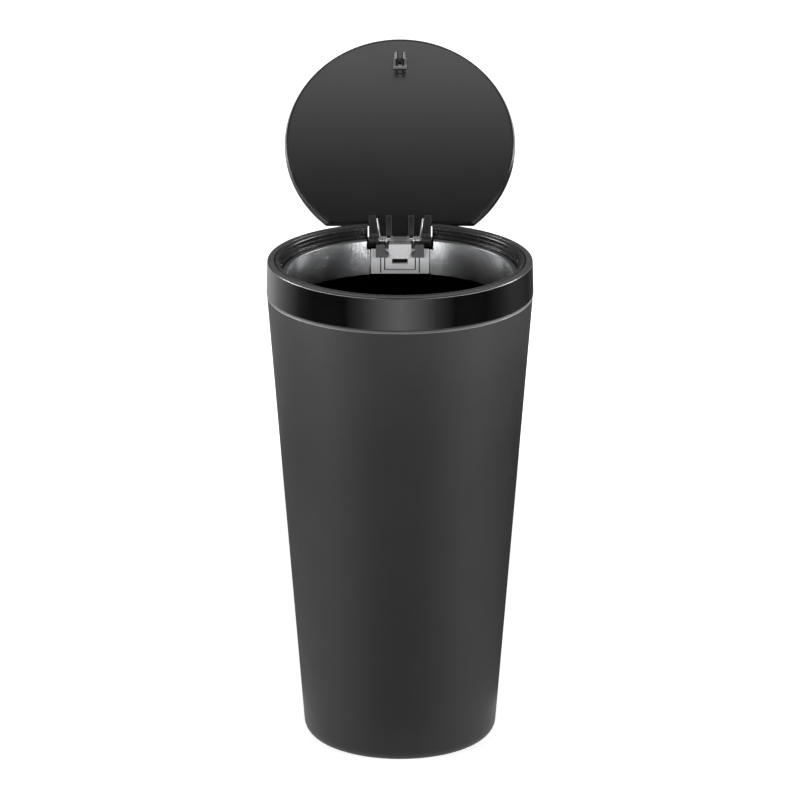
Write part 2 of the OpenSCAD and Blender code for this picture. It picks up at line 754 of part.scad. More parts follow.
// The side of a lug, as [y, z] points: a foot on the lid that runs back to the pin.
module lug_side(r) {
    foot_z = under_z - lug_stand;
    union() {
        translate([hinge_y, hinge_z]) circle(r = r, $fn = 48);
        polygon(concat(
            arc(lug_start_y + lug_foot_r, foot_z + lug_foot_r, lug_foot_r, 180, 260, 5),
            [[hinge_y - r + 0.02, foot_z],
             [hinge_y, hinge_z - 0.5],
             [hinge_y + 0.1, hinge_z + r - 0.02],
             [chord_y + 0.4, under_z + panel_t],
             [lug_start_y, under_z + panel_t - 0.2]]));
    }
}

// The lid's inner panel, with its hinge lugs, ribs and the boss for the striker.
module lid_panel() {
    boss_r = 3.5;
    boss_h = 0.5;
    root_back_y = hinge_y - ear_r - 0.6;
    color([0.14, 0.14, 0.14])
    opened()
    difference() {
        union() {
            difference() {
                translate([0, 0, under_z]) cylinder(r = panel_r, h = panel_t, $fn = 180);
                block([-collar_d, chord_y - cover_rim, 0], [collar_d, collar_d, total_h + 1]);
            }
            block([-lug_outer_x, lug_start_y, under_z], [lug_outer_x, root_back_y, under_z + panel_t]);
            for (side = [-1, 1]) {
                intersection() {
                    side_plate(side > 0 ? lug_inner_x : -lug_outer_x,
                               side > 0 ? lug_outer_x : -lug_inner_x)
                        lug_side(lug_r);
                    // The inner face slants, so that the lug is thinner in front.
                    translate([0, 0, hinge_z - lug_r - 1])
                        mirror([side > 0 ? 0 : 1, 0, 0])
                            linear_extrude(lid_t + 2 * lug_r + 2)
                                polygon([[lug_inner_x + lug_taper, lug_start_y - 1],
                                         [lug_outer_x + 1, lug_start_y - 1],
                                         [lug_outer_x + 1, hinge_y + lug_r + 1],
                                         [lug_inner_x, hinge_y + lug_r + 1],
                                         [lug_inner_x, hinge_y - coil_r - torsion_wire]]);
                }
                side_plate(side > 0 ? rib_x - rib_t : -rib_x, side > 0 ? rib_x : rib_t - rib_x)
                    polygon(concat(
                        arc(lug_start_y + lug_foot_r, under_z - lug_stand + lug_foot_r,
                            lug_foot_r, 180, 270, 5),
                        [[chord_y + 1.6, under_z - lug_stand],
                         [root_back_y, under_z],
                         [root_back_y, under_z + panel_t - 0.1],
                         [lug_start_y, under_z + panel_t - 0.1]]));
            }
            translate([0, -latch_y, under_z - boss_h]) cylinder(r = boss_r, h = boss_h + 0.5, $fn = 48);
        }
        translate([-collar_d / 2, hinge_y, hinge_z])
            rotate([0, 90, 0])
                cylinder(r = pin_r + pin_clear, h = collar_d, $fn = 48);
        translate([0, -latch_y, under_z - 3]) cylinder(r = screw_r + press_gap, h = 3.8, $fn = 32);
        block([-striker_w / 2 - 0.05, -latch_y - striker_d / 2 - 0.05, under_z - 1],
              [striker_w / 2 + 0.05, -latch_y + striker_d / 2 + 0.05, under_z]);
    }
}

// The forked striker that the latch grips.
module striker() {
    prong_d = 2.8;
    tip_h = 1.2;
    barb = 0.35;
    color([0.55, 0.55, 0.57])
    opened()
    translate([0, -latch_y, 0])
    difference() {
        union() {
            block([-striker_w / 2, -striker_d / 2, under_z - striker_foot_h],
                  [striker_w / 2, striker_d / 2, under_z]);
            for (side = [-1, 1])
                mirror([side < 0 ? 1 : 0, 0, 0])
                    translate([0, prong_d / 2, 0])
                        rotate([90, 0, 0])
                            linear_extrude(prong_d)
                                polygon([[prong_gap / 2, under_z - striker_foot_h + 0.5],
                                         [prong_gap / 2, under_z - striker_h],
                                         [prong_gap / 2 + prong_t - 0.5, under_z - striker_h],
                                         [prong_gap / 2 + prong_t + barb, under_z - striker_h + tip_h],
                                         [prong_gap / 2 + prong_t, under_z - striker_h + tip_h + 0.4],
                                         [prong_gap / 2 + prong_t, under_z - striker_foot_h + 0.5]]);
        }
        translate([0, 0, under_z - striker_foot_h - 1])
            cylinder(r = screw_r + fit_gap, h = striker_foot_h + 2, $fn = 32);
    }
}

// The small screw through the striker's foot into the panel.
module striker_screw() {
    head_h = 0.4;
    foot_z = under_z - striker_foot_h;
    color([0.5, 0.5, 0.52])
    opened()
    translate([0, -latch_y, 0])
    union() {
        translate([0, 0, foot_z - head_h]) cylinder(r = 0.6, h = head_h, $fn = 32);
        translate([0, 0, foot_z - 0.1])
            cylinder(r = screw_r - 0.05, h = striker_foot_h + 0.8, $fn = 32);
    }
}

barrel();
collar();
seat_ring();
liner_ring();
hinge_bracket();
spring_block(-1);  // spring_block_left
spring_block(1);  // spring_block_right
bracket_screws();
hinge_pin();
pin_sleeve();
torsion_spring(-1);  // torsion_spring_left
torsion_spring(1);  // torsion_spring_right
latch_housing();
latch_cover();
latch_screws();
latch_spring();
latch_pin();
latch_slider();
lid_cover();
lid_panel();
striker();
striker_screw();
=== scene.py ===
"""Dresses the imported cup-holder bin with its finished surfaces, studio and camera.

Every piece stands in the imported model's frame, in metres: +Z up, the front of the bin at -Y.
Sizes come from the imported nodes' boxes or from the named values of each class.
"""

import logging
import math
from dataclasses import dataclass
from enum import Enum
from functools import cache
from typing import Callable, Iterable, NamedTuple, Sequence

import bmesh
import bpy
from bpy.types import Material, Node, NodeSocket, Object
from mathutils import Matrix, Vector


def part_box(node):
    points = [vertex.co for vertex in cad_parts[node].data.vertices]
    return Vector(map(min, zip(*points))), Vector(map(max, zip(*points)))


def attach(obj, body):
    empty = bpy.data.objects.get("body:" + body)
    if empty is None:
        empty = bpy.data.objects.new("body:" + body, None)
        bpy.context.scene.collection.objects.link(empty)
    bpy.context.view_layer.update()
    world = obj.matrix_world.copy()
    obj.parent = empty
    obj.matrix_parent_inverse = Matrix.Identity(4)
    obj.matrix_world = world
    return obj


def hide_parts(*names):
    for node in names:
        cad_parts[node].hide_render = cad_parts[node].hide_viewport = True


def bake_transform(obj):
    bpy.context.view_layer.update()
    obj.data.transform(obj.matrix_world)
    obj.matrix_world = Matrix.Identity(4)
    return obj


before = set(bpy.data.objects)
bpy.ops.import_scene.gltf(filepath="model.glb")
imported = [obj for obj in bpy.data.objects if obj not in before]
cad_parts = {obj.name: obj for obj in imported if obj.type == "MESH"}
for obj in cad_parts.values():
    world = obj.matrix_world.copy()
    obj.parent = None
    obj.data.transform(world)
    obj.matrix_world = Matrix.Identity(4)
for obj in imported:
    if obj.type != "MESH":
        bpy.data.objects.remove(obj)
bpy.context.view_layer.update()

MERGE_GAP = 1e-7
CLEAR = 0.001
SIDE_TILT = 0.5
BLACK = (0.0, 0.0, 0.0, 1.0)
WHITE = (1.0, 1.0, 1.0, 1.0)
Pair = tuple[float, float]
Triple = tuple[float, float, float]
NodeGroup = bpy.types.NodeTree
FaceRule = Callable[[Vector, Vector], bool]
log = logging.getLogger("bin")


class Body(Enum):
    """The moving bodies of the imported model."""

    BIN = "bin"
    LID = "lid"
    SLIDER = "slider"


def node_box(name: str) -> tuple[Vector, Vector]:
    """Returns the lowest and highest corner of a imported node, in metres."""
    low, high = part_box(name)
    return Vector(low), Vector(high)


class Corner(NamedTuple):
    """A corner of an outline in the half plane of radius and height, in metres."""

    r: float
    z: float
    fillet: float = 0.0


def fillet_points(before: Vector, at: Vector, after: Vector, radius: float, steps: int) -> list[Vector]:
    """Rounds one corner of an outline.

    Args:
        before: The corner before it.
        at: The corner itself.
        after: The corner after it.
        radius: The fillet's radius.
        steps: How many chords the arc has.

    Returns:
        The points of the arc, or the corner alone where there is nothing to round.
    """
    into = (before - at).normalized()
    out = (after - at).normalized()
    half = into.angle(out, math.pi) / 2
    if radius <= 0 or half > math.radians(89):
        return [at]
    reach = min(radius / math.tan(half), 0.49 * (before - at).length, 0.49 * (after - at).length)
    centre = at + (into + out).normalized() * (reach / math.cos(half))
    start = at + into * reach - centre
    end = at + out * reach - centre
    sweep = math.atan2(start.cross(end), start.dot(end))
    turns = [Matrix.Rotation(sweep * step / steps, 2) for step in range(steps + 1)]
    return [centre + turn @ start for turn in turns]


@dataclass
class Outline:
    """An outline with rounded corners, which a lathe turns into a ring or a cup."""

    corners: list[Corner]
    closed: bool = True
    steps: int = 6

    def points(self) -> list[Vector]:
        """Returns the outline's points, with the first repeated at the end where it is closed."""
        flat = [Vector((corner.r, corner.z)) for corner in self.corners]
        result: list[Vector] = []
        for index, corner in enumerate(self.corners):
            after = flat[(index + 1) % len(flat)]
            result += fillet_points(flat[index - 1], flat[index], after, corner.fillet, self.steps)
        if self.closed:
            result.append(result[0].copy())
        return result


def chain(count: int) -> list[tuple[int, int]]:
    """Returns the edges that join a number of points in a row."""
    return [(index, index + 1) for index in range(count - 1)]


def link(obj: Object) -> Object:
    """Puts a new object into the scene and returns it."""
    bpy.context.scene.collection.objects.link(obj)
    return obj


def mesh_object(name: str, points: Sequence[Sequence[float]], edges: Sequence[Sequence[int]] = (),
                faces: Sequence[Sequence[int]] = ()) -> Object:
    """Makes a mesh object at the origin and links it to the scene."""
    mesh = bpy.data.meshes.new(name)
    mesh.from_pydata(points, edges, faces)
    return link(bpy.data.objects.new(name, mesh))


def bake_modifiers(obj: Object) -> None:
    """Turns an object's modifiers into its plain mesh and removes them."""
    depsgraph = bpy.context.evaluated_depsgraph_get()
    mesh = bpy.data.meshes.new_from_object(obj.evaluated_get(depsgraph))
    obj.modifiers.clear()
    obj.data = mesh


def tidy_mesh(obj: Object, smooth_below: float = 35.0) -> None:
    """Merges doubles, turns the faces outwards and marks the sharp edges.

    Args:
        obj: The mesh object.
        smooth_below: Edges that bend by less than this many degrees are shaded smooth.
    """
    work = bmesh.new()
    work.from_mesh(obj.data)
    bmesh.ops.remove_doubles(work, verts=work.verts, dist=MERGE_GAP)
    bmesh.ops.dissolve_degenerate(work, edges=work.edges, dist=MERGE_GAP)
    bmesh.ops.recalc_face_normals(work, faces=work.faces)
    work.to_mesh(obj.data)
    work.free()
    obj.data.shade_smooth()
    obj.data.set_sharp_from_angle(angle=math.radians(smooth_below))


class NodeTree:
    """A thin helper that adds nodes to a tree and links them."""

    def __init__(self, tree: NodeGroup) -> None:
        """Keeps the tree that the nodes go into."""
        self.tree = tree

    def add(self, kind: str, settings: dict | None = None, **values: object) -> Node:
        """Adds a node.

        Args:
            kind: The node's type name.
            settings: Properties of the node itself.
            **values: Input sockets by name, each a value or a socket to link from.

        Returns:
            The new node.
        """
        node = self.tree.nodes.new(kind)
        for key, value in (settings or {}).items():
            setattr(node, key, value)
        self.feed_all(node, values)
        return node

    def feed(self, node: Node, key: str | int, value: object) -> None:
        """Sets an input socket, or links another node's output to it."""
        socket = node.inputs[key]
        if isinstance(value, NodeSocket):
            self.tree.links.new(value, socket)
        else:
            socket.default_value = value

    def feed_all(self, node: Node, values: dict[str, object]) -> None:
        """Feeds several inputs by name, where an underscore stands for a space."""
        for key, value in values.items():
            self.feed(node, key.replace("_", " "), value)

    def math(self, operation: str, *terms: object) -> NodeSocket:
        """Adds a Math node and returns its output."""
        node = self.add("ShaderNodeMath", {"operation": operation})
        for index, term in enumerate(terms):
            self.feed(node, index, term)
        return node.outputs[0]


def start_group(name: str, inputs: dict[str, str | float], output: str) -> tuple[NodeTree, Node]:
    """Makes a node group with one output.

    Args:
        name: The group's name.
        inputs: Its inputs by name, each the kind of its socket or the default of a number.
        output: The output's name. Where it is Geometry, the group also takes a geometry and a material.

    Returns:
        The helper of its tree and its input node.
    """
    shapes = output == "Geometry"
    tree = bpy.data.node_groups.new(name, "GeometryNodeTree" if shapes else "ShaderNodeTree")
    if shapes:
        inputs = {"Geometry": "Geometry", **inputs, "Material": "Material"}
    for label, value in inputs.items():
        kind = value if isinstance(value, str) else "Float"
        socket = tree.interface.new_socket(label, in_out="INPUT", socket_type=f"NodeSocket{kind}")
        if not isinstance(value, str):
            socket.default_value = value
    kind = "Geometry" if shapes else "Float"
    tree.interface.new_socket(output, in_out="OUTPUT", socket_type=f"NodeSocket{kind}")
    helper = NodeTree(tree)
    return helper, helper.add("NodeGroupInput")


class GeometryShop:
    """Builds the Geometry Nodes trees once and runs them on the pieces."""

    def __init__(self) -> None:
        """Builds the three trees."""
        self.lathe_tree = self._build_lathe()
        self.wire_tree = self._build_wire()
        self.repeat_tree = self._build_repeat()

    @staticmethod
    def _end(helper: NodeTree, given: Node, shape: Node) -> NodeGroup:
        """Ends a tree with real geometry in the given material, and returns it."""
        real = helper.add("GeometryNodeRealizeInstances", Geometry=shape.outputs[0])
        dressed = helper.add("GeometryNodeSetMaterial", Geometry=real.outputs[0],
                             Material=given.outputs["Material"])
        helper.add("NodeGroupOutput", Geometry=dressed.outputs[0])
        return helper.tree

    def _build_lathe(self) -> NodeGroup:
        """Builds the tree that turns an outline round the Z axis."""
        helper, given = start_group("lathe", {"Segments": "Int"}, "Geometry")
        outline, segments = given.outputs["Geometry"], given.outputs["Segments"]
        rows = helper.add("GeometryNodeAttributeDomainSize", Geometry=outline).outputs["Point Count"]
        grid = helper.add("GeometryNodeMeshGrid", Vertices_X=helper.math("ADD", segments, 1.0),
                          Vertices_Y=rows)
        index = helper.add("GeometryNodeInputIndex").outputs[0]
        column = helper.math("FLOOR", helper.math("DIVIDE", helper.math("ADD", index, 0.5), rows))
        row = helper.math("SUBTRACT", index, helper.math("MULTIPLY", column, rows))
        place = helper.add("GeometryNodeInputPosition").outputs[0]
        sample = helper.add("GeometryNodeSampleIndex", {"data_type": "FLOAT_VECTOR", "domain": "POINT"},
                            Geometry=outline, Value=place, Index=row)
        parts = helper.add("ShaderNodeSeparateXYZ", Vector=sample.outputs["Value"])
        turn = helper.math("MULTIPLY", helper.math("DIVIDE", column, segments), math.tau)
        spot = helper.add("ShaderNodeCombineXYZ",
                          X=helper.math("MULTIPLY", parts.outputs["X"], helper.math("COSINE", turn)),
                          Y=helper.math("MULTIPLY", parts.outputs["X"], helper.math("SINE", turn)),
                          Z=parts.outputs["Z"])
        placed = helper.add("GeometryNodeSetPosition", Geometry=grid.outputs["Mesh"],
                            Position=spot.outputs[0])
        merged = helper.add("GeometryNodeMergeByDistance", Geometry=placed.outputs[0], Distance=1e-6)
        return self._end(helper, given, merged)

    def _build_wire(self) -> NodeGroup:
        """Builds the tree that sweeps a round wire along a path."""
        helper, given = start_group("wire", {"Wire Radius": "Float", "Sides": "Int"}, "Geometry")
        path = helper.add("GeometryNodeMeshToCurve", Mesh=given.outputs["Geometry"])
        ring = helper.add("GeometryNodeCurvePrimitiveCircle", Resolution=given.outputs["Sides"],
                          Radius=given.outputs["Wire Radius"])
        swept = helper.add("GeometryNodeCurveToMesh", Curve=path.outputs[0],
                           Profile_Curve=ring.outputs[0], Fill_Caps=True)
        return self._end(helper, given, swept)

    def _build_repeat(self) -> NodeGroup:
        """Builds the tree that sets a copy of a template on each point, turned to its axis."""
        helper, given = start_group("repeat", {"Template": "Object", "Turn": "Vector"}, "Geometry")
        source = helper.add("GeometryNodeObjectInfo", Object=given.outputs["Template"])
        copies = helper.add("GeometryNodeInstanceOnPoints", Points=given.outputs["Geometry"],
                            Instance=source.outputs["Geometry"], Rotation=given.outputs["Turn"])
        return self._end(helper, given, copies)

    @staticmethod
    def _run(obj: Object, tree: NodeGroup, finish_name: str, values: dict[str, object]) -> None:
        """Runs a tree on an object and keeps the result as its plain mesh, in one finish."""
        values["Material"] = finish(finish_name)
        modifier = obj.modifiers.new(tree.name, "NODES")
        modifier.node_group = tree
        for item in tree.interface.items_tree:
            if item.in_out == "INPUT" and item.name in values:
                modifier[item.identifier] = values[item.name]
        bake_modifiers(obj)
        mesh = obj.data
        mesh.materials.clear()
        mesh.materials.append(values["Material"])
        mesh.polygons.foreach_set("material_index", [0] * len(mesh.polygons))

    def lathe(self, name: str, outline: Outline, finish_name: str, segments: int = 256) -> Object:
        """Turns an outline round the Z axis.

        Args:
            name: The piece's name.
            outline: The outline in the half plane of radius and height.
            finish_name: The piece's finish.
            segments: Faces round the axis.

        Returns:
            The closed, smooth-shaded piece.
        """
        points = [(point.x, 0.0, point.y) for point in outline.points()]
        obj = mesh_object(name, points, chain(len(points)))
        self._run(obj, self.lathe_tree, finish_name, {"Segments": segments})
        tidy_mesh(obj)
        return obj

    def wire(self, name: str, path: Sequence[Vector], radius: float, finish_name: str) -> Object:
        """Sweeps a round wire along a path of points and returns the piece."""
        obj = mesh_object(name, path, chain(len(path)))
        self._run(obj, self.wire_tree, finish_name, {"Wire Radius": radius, "Sides": 12})
        tidy_mesh(obj, smooth_below=60.0)
        return obj

    def repeat(self, name: str, template: Object, places: Sequence[Vector],
               turn: Triple, finish_name: str) -> Object:
        """Sets a copy of a template on each place and removes the template.

        Args:
            name: The piece's name.
            template: The object to copy, which stands on its origin along Z.
            places: Where the copies go.
            turn: Euler turn of every copy, in radians.
            finish_name: The piece's finish.

        Returns:
            The copies as one piece.
        """
        obj = mesh_object(name, places)
        self._run(obj, self.repeat_tree, finish_name, {"Template": template, "Turn": turn})
        bpy.data.objects.remove(template, do_unlink=True)
        tidy_mesh(obj)
        return obj


def new_material(name: str, **inputs: object) -> tuple[Material, NodeTree, Node]:
    """Makes a material.

    Args:
        name: The material's name.
        **inputs: Values of its Principled shader's inputs, by name.

    Returns:
        The material, the helper of its tree and its shader.
    """
    material = bpy.data.materials.new(name)
    material.use_nodes = True
    helper = NodeTree(material.node_tree)
    shader = material.node_tree.nodes["Principled BSDF"]
    helper.feed_all(shader, inputs)
    return material, helper, shader


class ShaderShop:
    """Builds the shader groups that the finishes share, and what every finish starts from."""

    def __init__(self) -> None:
        """Builds the shared groups."""
        self.grain = self._grain_group()
        self.mottle = self._mottle_group()
        self.drawn = self._drawn_group()

    def _grain_group(self) -> NodeGroup:
        """Builds the spark-eroded grain of a moulded surface: a height between 0 and 1."""
        helper, given = start_group("moulded_grain", {"Scale": 3000.0, "Coarse": 0.4}, "Height")
        place = helper.add("ShaderNodeTexCoord").outputs["Object"]
        fine = helper.add("ShaderNodeTexNoise", Vector=place, Scale=given.outputs["Scale"], Detail=2.0)
        cells = helper.add("ShaderNodeTexVoronoi", {"feature": "SMOOTH_F1"}, Vector=place,
                           Scale=helper.math("MULTIPLY", given.outputs["Scale"], 0.45))
        blend = helper.add("ShaderNodeMix", Factor=given.outputs["Coarse"],
                           A=fine.outputs["Fac"], B=cells.outputs["Distance"])
        helper.add("NodeGroupOutput", Height=blend.outputs[0])
        return helper.tree

    def _mottle_group(self) -> NodeGroup:
        """Builds slow changes over a surface: a value between Low and High."""
        helper, given = start_group("surface_mottle", {"Scale": 60.0, "Low": 0.4, "High": 0.6}, "Value")
        place = helper.add("ShaderNodeTexCoord").outputs["Object"]
        broad = helper.add("ShaderNodeTexNoise", Vector=place, Scale=given.outputs["Scale"], Detail=5.0,
                           Roughness=0.6)
        ranged = helper.add("ShaderNodeMapRange", Value=broad.outputs["Fac"], From_Min=0.3, From_Max=0.7,
                            To_Min=given.outputs["Low"], To_Max=given.outputs["High"])
        helper.add("NodeGroupOutput", Value=ranged.outputs[0])
        return helper.tree

    def _drawn_group(self) -> NodeGroup:
        """Builds the fine lines that rolling or turning leaves in metal, along X."""
        helper, given = start_group("drawn_lines", {"Scale": 4000.0, "Stretch": 0.03}, "Height")
        place = helper.add("ShaderNodeTexCoord").outputs["Object"]
        squeeze = helper.add("ShaderNodeCombineXYZ", X=given.outputs["Stretch"], Y=1.0, Z=1.0)
        along = helper.add("ShaderNodeVectorMath", {"operation": "MULTIPLY"})
        helper.feed(along, 0, place)
        helper.feed(along, 1, squeeze.outputs[0])
        lines = helper.add("ShaderNodeTexNoise", Vector=along.outputs[0], Scale=given.outputs["Scale"],
                           Detail=3.0)
        helper.add("NodeGroupOutput", Height=lines.outputs["Fac"])
        return helper.tree

    @staticmethod
    def group(helper: NodeTree, tree: NodeGroup, **values: float) -> NodeSocket:
        """Places a shared group in a material and returns its output."""
        return helper.add("ShaderNodeGroup", {"node_tree": tree}, **values).outputs[0]

    def surface(self, name: str, tones: tuple[Triple, Triple], roughness: Pair, scales: Pair,
                **inputs: float) -> tuple[Material, NodeTree, Node]:
        """Starts a material whose tone and roughness change slowly over the surface.

        Args:
            name: The material's name.
            tones: The two tones that it changes between.
            roughness: The range of its roughness.
            scales: The scale of the changes of tone and of roughness.
            **inputs: Other values of its shader, by name.

        Returns:
            The material, the helper of its tree and its shader.
        """
        material, helper, shader = new_material(name, **inputs)
        tone = self.group(helper, self.mottle, Scale=scales[0], Low=0.0, High=1.0)
        colour = helper.add("ShaderNodeMix", {"data_type": "RGBA"}, Factor=tone)
        helper.feed(colour, 6, (*tones[0], 1.0))
        helper.feed(colour, 7, (*tones[1], 1.0))
        helper.feed(shader, "Base Color", colour.outputs[2])
        rough = self.group(helper, self.mottle, Scale=scales[1], Low=roughness[0], High=roughness[1])
        helper.feed(shader, "Roughness", rough)
        return material, helper, shader

    @staticmethod
    def relief(helper: NodeTree, shader: Node, height: NodeSocket, depth: float) -> None:
        """Gives a shader a fine relief of a depth in metres."""
        bump = helper.add("ShaderNodeBump", Height=height, Strength=1.0, Distance=depth)
        helper.feed(shader, "Normal", bump.outputs[0])


@dataclass(frozen=True)
class PlasticFinish:
    """A moulded plastic: two close tones, a range of roughness, and a grain where its depth isn't 0."""

    name: str
    dark: Triple
    light: Triple
    roughness: Pair
    specular: float
    mottle_scale: float
    grain_depth: float = 0.0
    grain_scale: float = 3000.0

    def build(self, shop: ShaderShop) -> Material:
        """Builds the material."""
        scales = (self.mottle_scale, self.mottle_scale * 2.3)
        material, helper, shader = shop.surface(self.name, (self.dark, self.light), self.roughness, scales,
                                                Specular_IOR_Level=self.specular)
        if self.grain_depth > 0:
            height = shop.group(helper, shop.grain, Scale=self.grain_scale, Coarse=0.45)
            shop.relief(helper, shader, height, self.grain_depth)
        return material


@dataclass(frozen=True)
class MetalFinish:
    """A metal or plated surface, with faint drawn lines where their depth isn't 0."""

    name: str
    colour: Triple
    roughness: Pair
    line_depth: float = 0.0
    line_scale: float = 4000.0

    def build(self, shop: ShaderShop) -> Material:
        """Builds the material."""
        dark = tuple(0.93 * part for part in self.colour)
        material, helper, shader = shop.surface(self.name, (dark, self.colour), self.roughness,
                                                (90.0, 240.0), Metallic=1.0)
        if self.line_depth > 0:
            lines = shop.group(helper, shop.drawn, Scale=self.line_scale, Stretch=0.04)
            shop.relief(helper, shader, lines, self.line_depth)
        return material


PLANS: tuple[PlasticFinish | MetalFinish, ...] = (
    PlasticFinish("barrel_charcoal", (0.016, 0.016, 0.0162), (0.019, 0.019, 0.0192), (0.46, 0.54),
                  0.25, 45.0, 0.00003, 2600.0),
    # Painted highlight: a much lighter tone for the barrel's shoulder bevel.
    PlasticFinish("barrel_edge", (0.1, 0.1, 0.1005), (0.12, 0.12, 0.1205), (0.3, 0.36), 0.5, 45.0),
    # Painted shade: a near-black, non-specular tone for the cup's inner wall and floor.
    PlasticFinish("barrel_inside", (0.001, 0.001, 0.001), (0.0015, 0.0015, 0.0015), (0.7, 0.8),
                  0.0, 45.0, 0.00003, 2600.0),
    PlasticFinish("collar_black", (0.0014, 0.0014, 0.0015), (0.002, 0.002, 0.0021), (0.06, 0.09), 1.0, 30.0),
    PlasticFinish("collar_edge", (0.0014, 0.0014, 0.0015), (0.002, 0.002, 0.0021), (0.26, 0.3), 0.8, 30.0),
    PlasticFinish("seat_black", (0.003, 0.003, 0.0031), (0.004, 0.004, 0.0041), (0.24, 0.3), 0.3, 40.0),
    MetalFinish("liner_plated", (0.9, 0.91, 0.92), (0.2, 0.21)),
    # Painted shade: a dark metal tone for the plated liner ring's faces turned upwards.
    MetalFinish("liner_edge", (0.1, 0.1, 0.102), (0.35, 0.4)),
    MetalFinish("bracket_steel", (0.93, 0.93, 0.94), (0.54, 0.6), 0.000004),
    # Painted shade: a dark metal tone for the bracket's upper faces.
    MetalFinish("bracket_edge", (0.2, 0.2, 0.205), (0.5, 0.6)),
    # Painted shade: near black, for the bracket's pressed lines and round the spring blocks' fronts.
    PlasticFinish("crease_black", (0.01, 0.01, 0.01), (0.015, 0.015, 0.015), (0.6, 0.7), 0.2, 100.0),
    PlasticFinish("block_black", (0.09, 0.09, 0.09), (0.11, 0.11, 0.11), (0.42, 0.5),
                  0.5, 200.0, 0.00001, 5000.0),
    MetalFinish("screw_steel", (0.55, 0.55, 0.57), (0.3, 0.4)),
    MetalFinish("pin_steel", (0.7, 0.7, 0.72), (0.15, 0.22), 0.000003, 6000.0),
    MetalFinish("spring_steel", (0.46, 0.46, 0.47), (0.3, 0.38)),
    PlasticFinish("latch_black", (0.012, 0.012, 0.012), (0.018, 0.018, 0.018), (0.45, 0.55),
                  0.5, 120.0, 0.00002),
    PlasticFinish("slider_grey", (0.06, 0.06, 0.062), (0.08, 0.08, 0.082), (0.35, 0.42),
                  0.5, 120.0, 0.00001),
    PlasticFinish("cover_black", (0.004, 0.004, 0.0042), (0.006, 0.006, 0.0062), (0.12, 0.18), 0.5, 30.0),
    PlasticFinish("panel_black", (0.003, 0.003, 0.0031), (0.004, 0.004, 0.0041), (0.19, 0.22), 1.0, 50.0),
    PlasticFinish("rib_black", (0.004, 0.004, 0.0041), (0.006, 0.006, 0.0061), (0.42, 0.5), 0.4, 50.0),
    # Painted highlight: a lighter tone for the slanted bevel faces of the lid's lugs and ribs.
    PlasticFinish("rib_edge", (0.08, 0.08, 0.081), (0.1, 0.1, 0.101), (0.42, 0.5), 0.4, 50.0),
    PlasticFinish("striker_grey", (0.13, 0.13, 0.131), (0.15, 0.15, 0.151), (0.4, 0.48), 0.3, 200.0),
)


@cache
def shader_shop() -> ShaderShop:
    """Builds the shared shader groups at their first use."""
    return ShaderShop()


@cache
def finish(name: str) -> Material:
    """Builds the finish of a name at its first use."""
    plan = next(plan for plan in PLANS if plan.name == name)
    return plan.build(shader_shop())


def finish_piece(obj: Object, body: Body | None, node: str) -> None:
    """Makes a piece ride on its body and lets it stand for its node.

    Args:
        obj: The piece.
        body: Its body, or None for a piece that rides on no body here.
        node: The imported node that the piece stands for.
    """
    if body is not None:
        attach(obj, body.value)
    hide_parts(node)
    log.info("%s: %d faces on %s", obj.name, len(obj.data.polygons), body.value if body else "a joint")


def box_object(low: Sequence[float], high: Sequence[float]) -> Object:
    """Makes a plain box, used only to cut other pieces."""
    corners = [(x, y, z) for x in (low[0], high[0]) for y in (low[1], high[1]) for z in (low[2], high[2])]
    faces = [(0, 1, 3, 2), (4, 6, 7, 5), (0, 4, 5, 1), (2, 3, 7, 6), (0, 2, 6, 4), (1, 5, 7, 3)]
    return mesh_object("cutter", corners, faces=faces)


def soften(obj: Object, width: float) -> None:
    """Rounds an object's edges to a width in metres and evens out its shading."""
    tidy_mesh(obj)
    modifier = obj.modifiers.new("soften", "BEVEL")
    modifier.width = width
    modifier.segments = 2
    modifier.limit_method = "ANGLE"
    modifier.angle_limit = math.radians(40)
    modifier.miter_outer = "MITER_ARC"
    bake_modifiers(obj)
    obj.data.shade_smooth()
    obj.data.set_sharp_from_angle(angle=math.radians(50))
    level = obj.modifiers.new("level", "WEIGHTED_NORMAL")
    level.weight = 90
    level.keep_sharp = True
    bake_modifiers(obj)


def cut_away(obj: Object, cutters: Sequence[Object], bevel: float, operation: str = "DIFFERENCE") -> None:
    """Cuts an object and softens the new edges.

    Args:
        obj: The piece.
        cutters: The solids to cut with, which are removed afterwards.
        bevel: Width of the softened edges, in metres.
        operation: DIFFERENCE to cut the solids out, INTERSECT to keep only what lies in them.
    """
    for cutter in cutters:
        modifier = obj.modifiers.new("cut", "BOOLEAN")
        modifier.operation = operation
        modifier.solver = "EXACT"
        modifier.object = cutter
    bake_modifiers(obj)
    for cutter in cutters:
        bpy.data.objects.remove(cutter, do_unlink=True)
    soften(obj, bevel)


def mark_faces(obj: Object, finish_name: str, wanted: FaceRule) -> None:
    """Gives another finish to the faces that a rule picks by their middle and normal."""
    obj.data.materials.append(finish(finish_name))
    for face in obj.data.polygons:
        if wanted(face.center, face.normal):
            face.material_index = len(obj.data.materials) - 1


def node_copy(name: str, node: str, finish_name: str, bevel: float = 0.0) -> Object:
    """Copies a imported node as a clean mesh.

    Args:
        name: The piece's name.
        node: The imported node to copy.
        finish_name: The piece's finish.
        bevel: Width of the softened edges in metres, or 0 to leave them as they are.

    Returns:
        The new piece.
    """
    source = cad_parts[node]
    obj = link(bpy.data.objects.new(name, source.data.copy()))
    work = bmesh.new()
    work.from_mesh(obj.data)
    work.transform(source.matrix_world)
    bmesh.ops.remove_doubles(work, verts=work.verts, dist=2e-6)
    bmesh.ops.dissolve_limit(work, angle_limit=math.radians(0.8), verts=work.verts, edges=work.edges)
    bmesh.ops.recalc_face_normals(work, faces=work.faces)
    work.to_mesh(obj.data)
    work.free()
    obj.data.materials.clear()
    obj.data.materials.append(finish(finish_name))
    if bevel > 0:
        soften(obj, bevel)
    else:
        obj.data.shade_smooth()
        obj.data.set_sharp_from_angle(angle=math.radians(35))
    return obj


